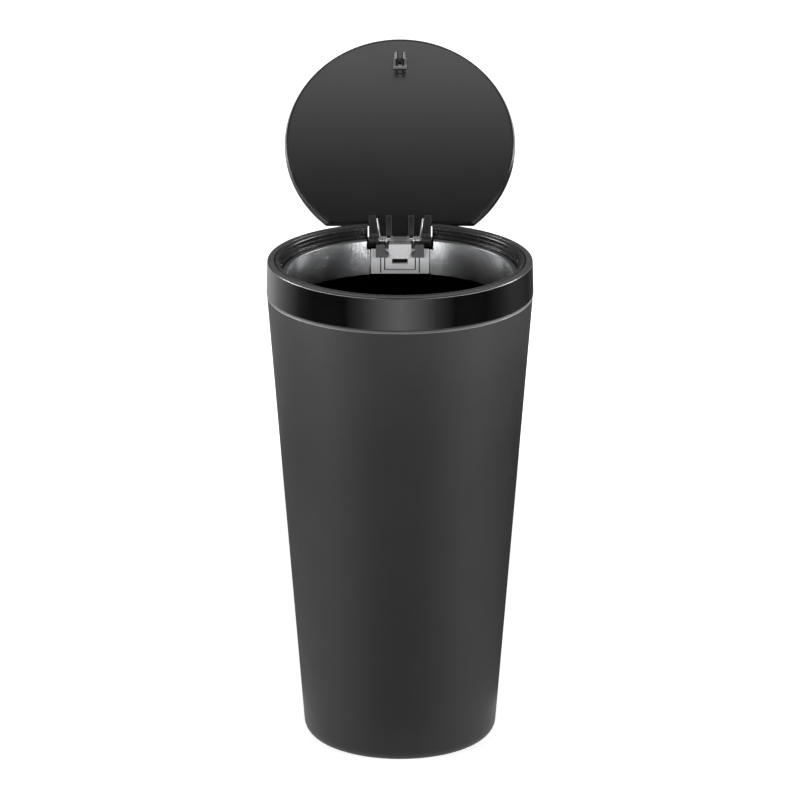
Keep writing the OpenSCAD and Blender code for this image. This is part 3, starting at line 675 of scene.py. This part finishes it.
def dress(name: str, node: str, slot: str, bevel: float, body: Body = Body.BIN) -> Object:
    """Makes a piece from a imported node.

    Args:
        name: The piece's name.
        node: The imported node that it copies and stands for.
        slot: The record's material slot, which also names the finish.
        bevel: Width of the softened edges, in metres.
        body: The body that it rides on.

    Returns:
        The finished piece.
    """
    piece = node_copy(name, node, slot, bevel)
    finish_piece(piece, body, node)
    return piece


@dataclass(frozen=True)
class Screw:
    """A small cross-recess screw that stands on its tip, with its head up."""

    length: float
    head_h: float = 0.0008
    shank_r: float = 0.0007
    head_r: float = 0.0013
    cross_l: float = 0.0016
    cross_w: float = 0.0003
    cross_depth: float = 0.0004

    def template(self, shop: GeometryShop, finish_name: str) -> Object:
        """Builds one screw with its tip chamfered and the recess cut into its head."""
        head_z = self.length - self.head_h
        outline = Outline([
            Corner(0.0, 0.0),
            Corner(self.shank_r, 0.0, 0.0002),
            Corner(self.shank_r, head_z),
            Corner(self.head_r, head_z, 0.0001),
            Corner(self.head_r, self.length, 0.0003),
            Corner(0.0, self.length),
        ], closed=False, steps=4)
        screw = shop.lathe("screw", outline, finish_name, segments=48)
        half_l, half_w = self.cross_l / 2, self.cross_w / 2
        floor_z, above_z = self.length - self.cross_depth, self.length + self.head_h
        cut_away(screw, [box_object((-a, -b, floor_z), (a, b, above_z))
                         for a, b in ((half_l, half_w), (half_w, half_l))], 0.00003)
        return screw


@dataclass(frozen=True)
class Sizes:
    """The bin's main sizes, in metres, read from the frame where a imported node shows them."""

    height: float = node_box("collar")[1].z
    collar_foot_r: float = node_box("collar")[1].x
    skirt_foot_z: float = node_box("collar")[0].z
    shoulder_r: float = node_box("barrel")[1].x
    neck_top_z: float = node_box("barrel")[1].z
    bead_r: float = node_box("seat_ring")[1].x
    collar_draft: float = 0.0003
    seam_gap: float = 0.0004
    base_r: float = 0.03275
    skirt_wall: float = 0.0013
    neck_wall: float = 0.0013
    bead_hook: float = 0.0008
    notch_half: float = 0.0111
    gap: float = 0.0001
    collar_r: float = collar_foot_r - collar_draft
    shoulder_z: float = skirt_foot_z - seam_gap
    neck_r: float = collar_foot_r - skirt_wall - gap
    neck_inner_r: float = neck_r - neck_wall
    seat_outer_r: float = bead_r - bead_hook

    def outer_r(self, z: float) -> float:
        """Returns the radius of the barrel's outer face at a height."""
        return self.base_r + (self.shoulder_r - self.base_r) * z / self.shoulder_z


@dataclass
class Barrel:
    """The tapered cup that the liner bag hangs in."""

    sizes: Sizes
    wall: float = 0.0022
    floor: float = 0.0024
    foot_fillet: float = 0.005
    shoulder_bevel: float = 0.0006

    def outline(self) -> Outline:
        """Returns the cup's outline, from the middle of the underside to the middle of the floor."""
        size = self.sizes
        taper = (size.shoulder_r - size.base_r) / size.shoulder_z
        inner_low_r = size.base_r - self.wall + taper * self.floor
        inner_top_z = (size.neck_inner_r + self.wall - size.base_r) / taper
        bevel_z = size.shoulder_z - self.shoulder_bevel
        return Outline([
            Corner(0.0, 0.0),
            Corner(size.base_r, 0.0, self.foot_fillet),
            Corner(size.outer_r(bevel_z), bevel_z, 0.0003),
            Corner(size.shoulder_r - self.shoulder_bevel, size.shoulder_z, 0.0002),
            Corner(size.neck_r, size.shoulder_z),
            Corner(size.neck_r, size.neck_top_z, 0.0002),
            Corner(size.neck_inner_r, size.neck_top_z, 0.0002),
            Corner(size.neck_inner_r, inner_top_z, 0.001),
            Corner(inner_low_r, self.floor, 0.0026),
            Corner(0.0, self.floor),
        ], closed=False, steps=8)

    def make(self, shop: GeometryShop) -> None:
        """Builds the cup, with painted shade on its inner wall and floor and a painted highlight along its
        shoulder's bevel.
        """
        size = self.sizes
        low_z = size.shoulder_z - self.shoulder_bevel - 0.0001
        high_z = size.shoulder_z + 0.00005

        def inside(place: Vector, normal: Vector) -> bool:
            """Tells whether a face lies on the inner wall or the floor."""
            reach = math.hypot(place.x, place.y)
            return place.z > self.floor / 2 and reach < size.outer_r(place.z) - self.wall / 2

        def bevelled(place: Vector, normal: Vector) -> bool:
            """Tells whether a face lies on the shoulder's bevel."""
            return low_z < place.z < high_z and not inside(place, normal)

        shell = shop.lathe("barrel_shell", self.outline(), "barrel_charcoal")
        # Painted shade: the inner wall and floor get a near-black finish.
        mark_faces(shell, "barrel_inside", inside)
        # Painted highlight: the shoulder's bevel faces get a much lighter finish.
        mark_faces(shell, "barrel_edge", bevelled)
        finish_piece(shell, Body.BIN, "barrel")


@dataclass
class Rim:
    """The glossy collar, the seat ring inside it and the plated liner ring."""

    sizes: Sizes
    edge_fillet: float = 0.0006
    bead_h: float = 0.0012
    recess_r: float = 0.0408
    recess_step: float = 0.0003
    step_drop: float = 0.0019
    recess_drop: float = 0.0034
    seat_h: float = 0.0066
    liner_r_top: float = 0.0382
    liner_r_low: float = 0.0374
    liner_wall: float = 0.0008
    liner_flange: float = 0.0008
    liner_flange_t: float = 0.0011
    liner_top_drop: float = 0.0039
    liner_low_drop: float = 0.0164
    liner_play: float = 0.0002
    bracket_half: float = 0.0103
    lug_room_half: float = 0.0115
    latch_half: float = 0.0093
    tab_half: float = 0.0131
    shelf_half: float = 0.0092
    reach: float = 0.06
    below: float = 0.15
    collar_tilt: float = 0.08
    liner_tilt: float = 0.15

    def collar_outline(self) -> Outline:
        """Returns the collar's outline."""
        size = self.sizes
        top = size.height
        return Outline([
            Corner(size.neck_r + size.gap, size.skirt_foot_z, 0.0002),
            Corner(size.collar_foot_r, size.skirt_foot_z, 0.0002),
            Corner(size.collar_r, top, self.edge_fillet),
            Corner(size.bead_r + size.gap, top, 0.0003),
            Corner(size.bead_r + size.gap, top - self.bead_h),
            Corner(size.seat_outer_r + size.gap, top - self.bead_h),
            Corner(size.seat_outer_r + size.gap, size.neck_top_z),
            Corner(size.neck_r + size.gap, size.neck_top_z),
        ], steps=8)

    def seat_outline(self) -> Outline:
        """Returns the seat ring's outline."""
        size = self.sizes
        top = size.height
        low_r = self.recess_r - self.recess_step
        hole_r = self.liner_r_top + self.liner_wall + self.liner_play
        ledge_r = hole_r + self.liner_flange
        ledge_z = top - self.liner_top_drop - self.liner_flange_t
        return Outline([
            Corner(hole_r, top - self.seat_h),
            Corner(size.seat_outer_r, top - self.seat_h),
            Corner(size.seat_outer_r, top - self.bead_h),
            Corner(size.bead_r, top - self.bead_h),
            Corner(size.bead_r, top, 0.0008),
            Corner(self.recess_r, top, 0.0008),
            Corner(self.recess_r, top - self.step_drop, 0.00012),
            Corner(low_r, top - self.step_drop, 0.00012),
            Corner(low_r, top - self.recess_drop, 0.0003),
            Corner(ledge_r, top - self.recess_drop, 0.0002),
            Corner(ledge_r, ledge_z),
            Corner(hole_r, ledge_z),
        ])

    def liner_outline(self) -> Outline:
        """Returns the liner ring's outline."""
        top = self.sizes.height - self.liner_top_drop
        low = self.sizes.height - self.liner_low_drop
        outer_r = self.liner_r_top + self.liner_wall
        seat_z = top - self.liner_flange_t
        return Outline([
            Corner(self.liner_r_low, low, 0.0003),
            Corner(self.liner_r_low + self.liner_wall, low, 0.0003),
            Corner(outer_r, seat_z),
            Corner(outer_r + self.liner_flange, seat_z, 0.0002),
            Corner(outer_r + self.liner_flange, top, 0.0003),
            Corner(self.liner_r_top, top, 0.0007),
        ])

    def _rear_box(self, half: float, low_z: float, high_z: float) -> Object:
        """Makes a cutter across the rear of the rings."""
        return box_object((-half, 0, low_z), (half, self.reach, high_z))

    def _seat_part(self, name: str, low: Triple, high: Triple, bevel: float) -> None:
        """Builds the part of the seat ring that lies inside a box."""
        part = node_copy(name, "seat_ring", "seat_black")
        cut_away(part, [box_object(low, high)], bevel, "INTERSECT")
        finish_piece(part, Body.BIN, "seat_ring")

    def make(self, shop: GeometryShop) -> None:
        """Builds the three rings, cut out for the hinge and the latch."""
        size = self.sizes
        top = size.height
        foot_z = top - self.seat_h
        collar = shop.lathe("collar_ring", self.collar_outline(), "collar_black")
        cut_away(collar, [self._rear_box(size.notch_half, size.neck_top_z + 0.00001, top + CLEAR)], 0.00025)
        mark_faces(collar, "collar_edge", lambda place, normal: normal.z > self.collar_tilt)
        finish_piece(collar, Body.BIN, "collar")

        seat = shop.lathe("seat_ring_bead", self.seat_outline(), "seat_black")
        cut_away(seat, [self._rear_box(size.notch_half, top - 0.01, top + CLEAR)], 0.0002)
        finish_piece(seat, Body.BIN, "seat_ring")
        self._seat_part("seat_ring_tab", (-self.tab_half, 0.03, self.below),
                        (self.tab_half, 0.05, foot_z + 0.0004), 0.0002)
        self._seat_part("seat_ring_shelf", (-self.shelf_half, -0.0388, foot_z - CLEAR),
                        (self.shelf_half, -0.02, foot_z + 2 * CLEAR), 0.0001)

        liner = shop.lathe("liner_band", self.liner_outline(), "liner_plated")
        seat_z = top - self.liner_top_drop - self.liner_flange_t
        cut_away(liner, [
            self._rear_box(self.bracket_half, self.below, top),
            self._rear_box(self.lug_room_half, seat_z - 0.0025, top),
            box_object((-self.latch_half, -self.reach, foot_z - 0.0003), (self.latch_half, 0, top)),
        ], 0.0001)
        # Painted shade: the liner ring's faces turned upwards get a dark finish.
        mark_faces(liner, "liner_edge", lambda place, normal: normal.z > self.liner_tilt)
        finish_piece(liner, Body.BIN, "liner_ring")


@dataclass
class Hinge:
    """The bracket, its blocks and screws, the pin and the two torsion springs."""

    pin_y: float = 0.038
    pin_z: float = 0.1655
    pin_r: float = 0.00075
    pin_half: float = 0.0107
    coil_x: float = 0.00435
    wire_r: float = 0.00025
    coil_r: float = 0.0012
    turns: int = 4
    turn_extra: float = 43.0
    pitch: float = 0.00056
    free_leg: float = 0.0076
    leg_splay: float = 0.12
    plate_top_z: float = 0.1628
    plate_gap: float = 0.00075
    screw_x: float = 0.0067
    crease_x: float = 0.00667
    groove_w: float = 0.0004
    groove_depth: float = 0.0003
    frame_half: float = 0.0051
    frame_drop: float = 0.0057
    frame_h: float = 0.0041
    crease_ends: Pair = (0.0003, 0.0005)
    front_tilt: float = -0.9

    def coil_path(self, side: int) -> list[Vector]:
        """Returns the path of a torsion spring: fixed leg, turns and free leg."""
        start = 180.0
        total = 360.0 * self.turns + self.turn_extra
        count = 24 * self.turns + 3
        coil = []
        for index in range(count + 1):
            angle = math.radians(start - total * index / count)
            coil.append(Vector((self.coil_x + self.wire_r + self.pitch * total / 360 * index / count,
                                self.pin_y + self.coil_r * math.cos(angle),
                                self.pin_z + self.coil_r * math.sin(angle))))
        end = math.radians(start - total)
        leg = Vector((self.leg_splay, math.sin(end), -math.cos(end)))
        drop = Vector((0, 0, self.pin_z - self.plate_top_z - self.wire_r))
        fixed = [coil[0] - part * drop for part in (1.0, 0.5)]
        free = [coil[-1] + leg * (part * self.free_leg) for part in (0.08, 0.2, 0.5, 0.8, 1.0)]
        return [Vector((side * point.x, point.y, point.z)) for point in fixed + coil + free]

    def make(self, shop: GeometryShop) -> None:
        """Builds the hinge's fixed pieces and its springs."""
        self._bracket()
        for side, label in ((-1, "left"), (1, "right")):
            block = dress(f"spring_seat_{label}", f"spring_block_{label}", "block_black", 0.00035)
            # Painted shade: every face of the block except its front gets a near-black finish, drawing a dark
            # outline.
            mark_faces(block, "crease_black", lambda place, normal: normal.y > self.front_tilt)
            coil = shop.wire(f"torsion_coil_{label}", self.coil_path(side), self.wire_r,
                             "spring_steel")
            finish_piece(coil, None, f"torsion_spring_{label}")
            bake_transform(coil)
        self._pin(shop)
        dress("sleeve_tube", "pin_sleeve", "block_black", 0.00005)
        self._screws(shop)

    def _groove_boxes(self) -> list[Object]:
        """Makes the cutters of the pressed lines round the bracket's frame and beside it."""
        low = node_box("hinge_bracket")[0]
        front_y = low.y - CLEAR
        floor_y = self.pin_y - self.pin_r - self.plate_gap + self.groove_depth
        frame_top_z = self.pin_z - self.frame_drop
        frame_foot_z = frame_top_z - self.frame_h
        foot_z = frame_foot_z - self.groove_w
        half = self.groove_w / 2
        lines = ((self.frame_half + half, foot_z, frame_top_z),
                 (self.crease_x, low.z + self.crease_ends[0], frame_top_z + self.crease_ends[1]))
        spans = [(side * x - half, side * x + half, bottom, top)
                 for side in (-1, 1) for x, bottom, top in lines]
        spans.append((-self.frame_half, self.frame_half, foot_z, frame_foot_z))
        return [box_object((left, front_y, bottom), (right, floor_y, top))
                for left, right, bottom, top in spans]

    def _bracket(self) -> None:
        """Builds the bracket, with painted shade in its pressed lines and on its upper faces."""
        bracket = node_copy("bracket_plate", "hinge_bracket", "bracket_steel")
        # Painted shade: the grooves' cut faces take a near-black finish from the cutters.
        bracket.data.materials.append(finish("crease_black"))
        grooves = self._groove_boxes()
        for groove in grooves:
            for name in ("bracket_steel", "crease_black"):
                groove.data.materials.append(finish(name))
            groove.data.polygons.foreach_set("material_index", [1] * len(groove.data.polygons))
        cut_away(bracket, grooves, 0.00004)
        # Painted shade: the bracket's upper faces, above the plate and not turned sideways, get a dark
        # finish.
        mark_faces(bracket, "bracket_edge",
                   lambda place, normal: place.z > self.plate_top_z and abs(normal.x) < SIDE_TILT)
        finish_piece(bracket, Body.BIN, "hinge_bracket")

    def _screws(self, shop: GeometryShop) -> None:
        """Builds the two screws that come through the seat ring's tab from behind."""
        low, high = node_box("bracket_screws")
        screw = Screw(high.y - low.y).template(shop, "screw_steel")
        places = [Vector((side * self.screw_x, low.y, (low.z + high.z) / 2)) for side in (-1, 1)]
        screws = shop.repeat("tab_screws", screw, places, (-math.pi / 2, 0.0, 0.0), "screw_steel")
        finish_piece(screws, Body.BIN, "bracket_screws")

    def _pin(self, shop: GeometryShop) -> None:
        """Builds the pin with its rounded ends."""
        outline = Outline([
            Corner(0.0, -self.pin_half),
            Corner(self.pin_r, -self.pin_half, 0.0002),
            Corner(self.pin_r, self.pin_half, 0.0002),
            Corner(0.0, self.pin_half),
        ], closed=False, steps=4)
        pin = shop.lathe("pin_rod", outline, "pin_steel", segments=48)
        lay = Matrix.Translation((0, self.pin_y, self.pin_z)) @ Matrix.Rotation(math.radians(90), 4, "Y")
        pin.data.transform(lay)
        finish_piece(pin, Body.BIN, "hinge_pin")


@dataclass
class Latch:
    """The push-push latch under the front of the rim."""

    y: float = -0.0297
    spring_r: float = 0.001475
    wire_r: float = 0.000225
    spring_low: float = 0.144275
    spring_high: float = 0.151725
    turns: int = 7
    rail_y: float = -0.0337
    tip_y: float = -0.0324
    pin_x: float = -0.00135
    pin_foot_z: float = 0.145
    pin_top_z: float = 0.1532
    pin_foot_l: float = 0.0026
    pin_r: float = 0.00035
    bend: float = 0.0005
    screw_x: float = 0.007

    def spring_path(self) -> list[Vector]:
        """Returns the path of the compression spring."""
        steps = 24
        count = steps * self.turns
        path = []
        for index in range(count + 1):
            angle = math.tau * index / steps
            path.append(Vector((self.spring_r * math.cos(angle), self.y + self.spring_r * math.sin(angle),
                                self.spring_low + (self.spring_high - self.spring_low) * index / count)))
        return path

    def pin_path(self) -> list[Vector]:
        """Returns the path of the bent pin that follows the cam."""
        path = [Vector((self.pin_x + self.pin_foot_l, self.rail_y, self.pin_foot_z))]
        for angle in range(-90, -181, -15):
            turn = math.radians(angle)
            path.append(Vector((self.pin_x + self.bend + self.bend * math.cos(turn), self.rail_y,
                                self.pin_foot_z + self.bend + self.bend * math.sin(turn))))
        for angle in range(180, 89, -15):
            turn = math.radians(angle)
            path.append(Vector((self.pin_x, self.rail_y + self.bend + self.bend * math.cos(turn),
                                self.pin_top_z - self.bend + self.bend * math.sin(turn))))
        path.append(Vector((self.pin_x, self.tip_y, self.pin_top_z)))
        return path

    def make(self, shop: GeometryShop) -> None:
        """Builds the latch."""
        dress("latch_body", "latch_housing", "latch_black", 0.00015)
        dress("latch_plate", "latch_cover", "latch_black", 0.00015)
        low, high = node_box("latch_screws")
        screw = Screw(high.z - low.z, head_h=0.0009).template(shop, "screw_steel")
        places = [Vector((side * self.screw_x, self.y, high.z)) for side in (-1, 1)]
        screws = shop.repeat("shelf_screws", screw, places, (math.pi, 0.0, 0.0), "screw_steel")
        finish_piece(screws, Body.BIN, "latch_screws")
        dress("latch_cradle", "latch_slider", "slider_grey", 0.00012, Body.SLIDER)
        spring = shop.wire("latch_coil", self.spring_path(), self.wire_r, "spring_steel")
        finish_piece(spring, None, "latch_spring")
        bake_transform(spring)
        pin = shop.wire("latch_finger", self.pin_path(), self.pin_r, "pin_steel")
        finish_piece(pin, Body.BIN, "latch_pin")


@dataclass
class Lid:
    """The flip lid, drawn closed and turned open about the pin."""

    sizes: Sizes
    pin_y: float = 0.038
    pin_z: float = 0.1655
    open_angle: float = math.radians(130.5)
    radius: float = 0.0401
    thickness: float = 0.003
    cover_t: float = 0.0018
    draft: float = 0.0006
    joint_r: float = 0.03895
    chord_y: float = 0.03074
    panel_t: float = 0.0004
    prong_part: float = 0.35
    rib_tilts: Pair = (0.2, 0.95)

    def opened(self) -> Matrix:
        """Returns the turn from closed to the open pose of the frame."""
        there = Matrix.Translation((0, self.pin_y, self.pin_z))
        return there @ Matrix.Rotation(-self.open_angle, 4, "X") @ there.inverted()

    def cover_outline(self) -> Outline:
        """Returns the outline of the outer shell, closed at the axis."""
        top = self.sizes.height
        under = top - self.thickness
        return Outline([
            Corner(0.0, top - self.cover_t),
            Corner(self.joint_r, top - self.cover_t),
            Corner(self.joint_r, under, 0.0001),
            Corner(self.radius - self.draft, under, 0.0002),
            Corner(self.radius, top - 0.0012, 0.0004),
            Corner(self.radius, top, 0.0005),
            Corner(0.0, top),
        ], closed=False)

    def make(self, shop: GeometryShop) -> None:
        """Builds the lid's shell, panel, striker and screw."""
        top = self.sizes.height
        cover = shop.lathe("lid_shell", self.cover_outline(), "cover_black")
        cut_away(cover, [box_object((-0.06, self.chord_y, 0.15), (0.06, 0.06, top + 0.01))], 0.0002)
        cover.data.transform(self.opened())
        finish_piece(cover, Body.LID, "lid_cover")
        closed = self.opened().inverted()
        foot = top - self.thickness - self.panel_t
        low_tilt, high_tilt = self.rib_tilts

        def on_rib(place: Vector, normal: Vector) -> bool:
            """Tells whether a face belongs to the lugs and ribs under the rear of the panel."""
            spot = closed @ place
            return spot.y > 0 and spot.z < foot

        panel = dress("lid_inner_panel", "lid_panel", "panel_black", 0.0003, Body.LID)
        mark_faces(panel, "rib_black", on_rib)
        # Painted highlight: the lugs' and ribs' slanted bevel faces get a lighter finish.
        mark_faces(panel, "rib_edge",
                   lambda place, normal: on_rib(place, normal) and low_tilt < abs(normal.x) < high_tilt)
        striker = dress("striker_fork", "striker", "striker_grey", 0.00015, Body.LID)
        heights = [(closed @ vertex.co).z for vertex in striker.data.vertices]
        prong_z = min(heights) + self.prong_part * (max(heights) - min(heights))
        # Painted shade: the striker's side faces, and its faces below prong_z when closed, get the near-black
        # rib finish to draw its dark outline.
        mark_faces(striker, "rib_black",
                   lambda place, normal: (closed @ place).z < prong_z or abs(normal.x) > SIDE_TILT)
        screw = node_copy("striker_fixing", "striker_screw", "rib_black", 0.0001)
        finish_piece(screw, Body.LID, "striker_screw")


@dataclass(frozen=True)
class Softbox:
    """A rectangular soft light, placed by its direction from the bin in degrees."""

    name: str
    turn: float
    rise: float
    reach: float
    size: Pair
    power: float
    aim: Triple = (0.0, 0.0, 0.1)

    def place(self) -> Vector:
        """Returns the light's centre. A turn of 0 is in front, 90 on the right."""
        turn, rise = math.radians(self.turn), math.radians(self.rise)
        return Vector(self.aim) + self.reach * Vector((math.sin(turn) * math.cos(rise),
                                                       -math.cos(turn) * math.cos(rise), math.sin(rise)))


@dataclass(frozen=True)
class Card:
    """A card, curved round the bin's axis from one turn to another, in degrees.

    Its shades run along it from 0, clear, to 1, black. It shows only in glossy surfaces, or where
    shadows is set it only casts shadows.
    """

    name: str
    start: float
    end: float
    low: float
    high: float
    shades: tuple[float, ...]
    reach: float = 0.32
    foot_reach: float = 0.32
    shadows: bool = False

    def shade_at(self, part: float) -> float:
        """Returns the shade at a part of the way along the card."""
        place = part * (len(self.shades) - 1)
        index = min(int(place), len(self.shades) - 2)
        return self.shades[index] + (place - index) * (self.shades[index + 1] - self.shades[index])

    def rows(self) -> list[tuple[Vector, Vector, float]]:
        """Returns the card's uprights: the lower point, the upper point and the shade."""
        steps = 48
        result = []
        for index in range(steps + 1):
            turn = math.radians(self.start + (self.end - self.start) * index / steps)
            out = Vector((math.sin(turn), -math.cos(turn), 0.0))
            result.append((self.foot_reach * out + Vector((0.0, 0.0, self.low)),
                           self.reach * out + Vector((0.0, 0.0, self.high)), self.shade_at(index / steps)))
        return result


LEFT_SIDE_SHADES = (0.35, 0.6, 0.88, 1.0, 1.0, 1.0, 0.97, 0.86, 0.74, 0.6, 0.62, 0.72, 0.72)
RIGHT_SIDE_SHADES = (0.35, 0.6, 0.88, 1.0, 1.0, 1.0, 0.97, 0.93, 0.94, 0.97, 0.95, 0.94, 0.94)
LEFT_FLOOR_SHADES = (0.6, 0.4, 0.0, 0.0, 0.1, 0.35, 0.7, 0.9, 0.95)
RIGHT_FLOOR_SHADES = (0.6, 0.4, 0.0, 0.0, 0.3, 0.7, 0.95, 1.0, 1.0)
HALO_SHADES = (0.0, 0.0, 0.5, 1.0, 0.5, 0.1, 0.3, 0.4, 0.4)
SOFTBOXES = (
    Softbox("left_box", -62, 3, 1.1, (0.9, 0.25), 12.6),
    Softbox("right_box", 62, 3, 1.1, (0.9, 0.25), 11.8),
    Softbox("front_left_box", -30, 12.5, 1.5, (0.5, 0.18), 7.0, (0.0, 0.0, 0.16)),
    Softbox("front_right_box", 30, 12.5, 1.5, (0.5, 0.18), 7.0, (0.0, 0.0, 0.16)),
    Softbox("rear_left_box", -104, 12, 1.2, (0.55, 0.2), 17.0, (0.0, 0.0, 0.16)),
    Softbox("rear_right_box", 104, 12, 1.2, (0.55, 0.2), 17.0, (0.0, 0.0, 0.16)),
    Softbox("top_box", 180, 88, 0.3, (0.3, 0.1), 0.03, (0.0, 0.0, 0.17)),
)
CARDS = (
    Card("left_card", 0, -180, 0.0, 0.13, LEFT_SIDE_SHADES),
    Card("right_card", 0, 180, 0.0, 0.13, RIGHT_SIDE_SHADES),
    Card("left_floor_card", 0, -180, 0.002, 0.003, LEFT_FLOOR_SHADES, foot_reach=0.05),
    Card("right_floor_card", 0, 180, 0.002, 0.003, RIGHT_FLOOR_SHADES, foot_reach=0.05),
    Card("left_halo", 0, -160, 0.19, 0.62, HALO_SHADES, 0.45, 0.45),
    Card("right_halo", 0, 160, 0.19, 0.62, HALO_SHADES, 0.45, 0.45),
    Card("front_flag", -46, 46, 0.0, 0.21, (1.0, 1.0), 0.33, 0.33, True),
    Card("left_flag", -80, -158, 0.0, 0.212, (1.0, 1.0), 0.33, 0.33, True),
    Card("right_flag", 80, 158, 0.0, 0.212, (1.0, 1.0), 0.33, 0.33, True),
    Card("back_card", 130, 230, 0.2, 0.42, (0.0, 0.85, 0.85, 0.85, 0.0), 0.6, 0.6),
)
CANOPY_SHADES = ((-0.6, 1.0), (-0.10, 1.0), (-0.08, 0.95), (-0.06, 0.75), (-0.03, 0.2), (0.0, 0.0))


@dataclass
class Studio:
    """The camera, the floor and the soft lights."""

    target: Triple = (0.0, 0.0, 0.1199)
    distance: float = 2.123
    elevation: float = math.radians(17.98)
    lens: float = 280.1
    world_fill: float = 0.2
    floor_half: float = 30.0
    floor_glow: float = 0.8
    canopy_half: float = 0.5
    canopy_z: float = 0.45

    def camera(self) -> None:
        """Places the camera at the photograph's viewing angle."""
        data = bpy.data.cameras.new("camera")
        data.lens = self.lens
        data.sensor_width = 36.0
        data.clip_start = 0.05
        camera = link(bpy.data.objects.new("camera", data))
        away = Vector((0.0, -math.cos(self.elevation), math.sin(self.elevation)))
        camera.location = Vector(self.target) + self.distance * away
        camera.rotation_euler = (math.pi / 2 - self.elevation, 0.0, 0.0)
        bpy.context.scene.camera = camera

    def world(self) -> None:
        """Makes a white surround that lights the object at a plain level."""
        world = bpy.data.worlds.new("surround")
        world.use_nodes = True
        bpy.context.scene.world = world
        helper = NodeTree(world.node_tree)
        shown = helper.add("ShaderNodeLightPath")
        seen = helper.math("MAXIMUM", shown.outputs["Is Camera Ray"], shown.outputs["Is Transmission Ray"])
        seen = helper.math("MAXIMUM", seen, shown.outputs["Is Glossy Ray"])
        level = helper.add("ShaderNodeMix", Factor=seen, A=self.world_fill, B=1.0)
        surround = world.node_tree.nodes["Background"]
        helper.feed_all(surround, {"Strength": level.outputs[0], "Color": WHITE})

    def floor(self) -> None:
        """Makes the pale floor, which keeps the object's shadow."""
        half = self.floor_half
        floor = mesh_object("floor", [(-half, -half, 0), (half, -half, 0), (half, half, 0), (-half, half, 0)],
                            faces=[(0, 1, 2, 3)])
        material, helper, shader = new_material("floor_white", Base_Color=(0.8, 0.8, 0.8, 1.0), Roughness=1.0,
                                                Specular_IOR_Level=0.0, Emission_Color=WHITE)
        shown = helper.add("ShaderNodeLightPath")
        seen = helper.math("MAXIMUM", shown.outputs["Is Camera Ray"], shown.outputs["Is Glossy Ray"])
        helper.feed(shader, "Emission Strength", helper.math("MULTIPLY", seen, self.floor_glow))
        floor.data.materials.append(material)

    @staticmethod
    def softbox(box: Softbox) -> None:
        """Hangs a soft light that the camera doesn't see."""
        data = bpy.data.lights.new(box.name, "AREA")
        data.shape = "RECTANGLE"
        data.size, data.size_y = box.size
        data.energy = box.power
        light = link(bpy.data.objects.new(box.name, data))
        light.location = box.place()
        light.rotation_euler = (Vector(box.aim) - box.place()).to_track_quat("-Z", "Y").to_euler()
        light.visible_camera = False

    @staticmethod
    def sheet(name: str, rows: Sequence[tuple[Vector, Vector, float]], shadows: bool = False) -> None:
        """Hangs a sheet that is black where its shade is 1 and clear where it is 0.

        Args:
            name: The sheet's name.
            rows: Pairs of points across the sheet, each with its shade.
            shadows: Whether it only casts shadows. If not, it shows only in glossy surfaces.
        """
        points = [point for low, high, _ in rows for point in (low, high)]
        faces = [(first, first + 2, first + 3, first + 1) for first in range(0, len(points) - 2, 2)]
        sheet = mesh_object(name, points, faces=faces)
        shade = sheet.data.attributes.new("shade", "FLOAT", "POINT")
        shade.data.foreach_set("value", [value for _, _, value in rows for _ in range(2)])
        material, helper, shader = new_material(name, Base_Color=BLACK, Roughness=1.0, Specular_IOR_Level=0.0)
        read = helper.add("ShaderNodeAttribute", {"attribute_name": "shade"})
        helper.feed(shader, "Alpha", read.outputs["Fac"])
        sheet.data.materials.append(material)
        sheet.visible_camera = False
        sheet.visible_diffuse = False
        sheet.visible_shadow = shadows
        sheet.visible_glossy = not shadows

    def make(self) -> None:
        """Builds the studio, with a canopy over the lid that is black towards the front."""
        self.camera()
        self.world()
        self.floor()
        for box in SOFTBOXES:
            self.softbox(box)
        for card in CARDS:
            self.sheet(card.name, card.rows(), card.shadows)
        half, z = self.canopy_half, self.canopy_z
        self.sheet("canopy", [(Vector((-half, y, z)), Vector((half, y, z)), shade)
                              for y, shade in CANOPY_SHADES])
        bpy.context.scene.view_settings.view_transform = "Standard"


def main() -> None:
    """Builds the studio and every sub-assembly in order."""
    logging.basicConfig(level=logging.INFO, format="%(name)s: %(message)s")
    Studio().make()
    sizes = Sizes()
    shop = GeometryShop()
    for assembly in (Barrel(sizes), Rim(sizes), Hinge(), Latch(), Lid(sizes)):
        assembly.make(shop)


if __name__ == "__main__":
    main()
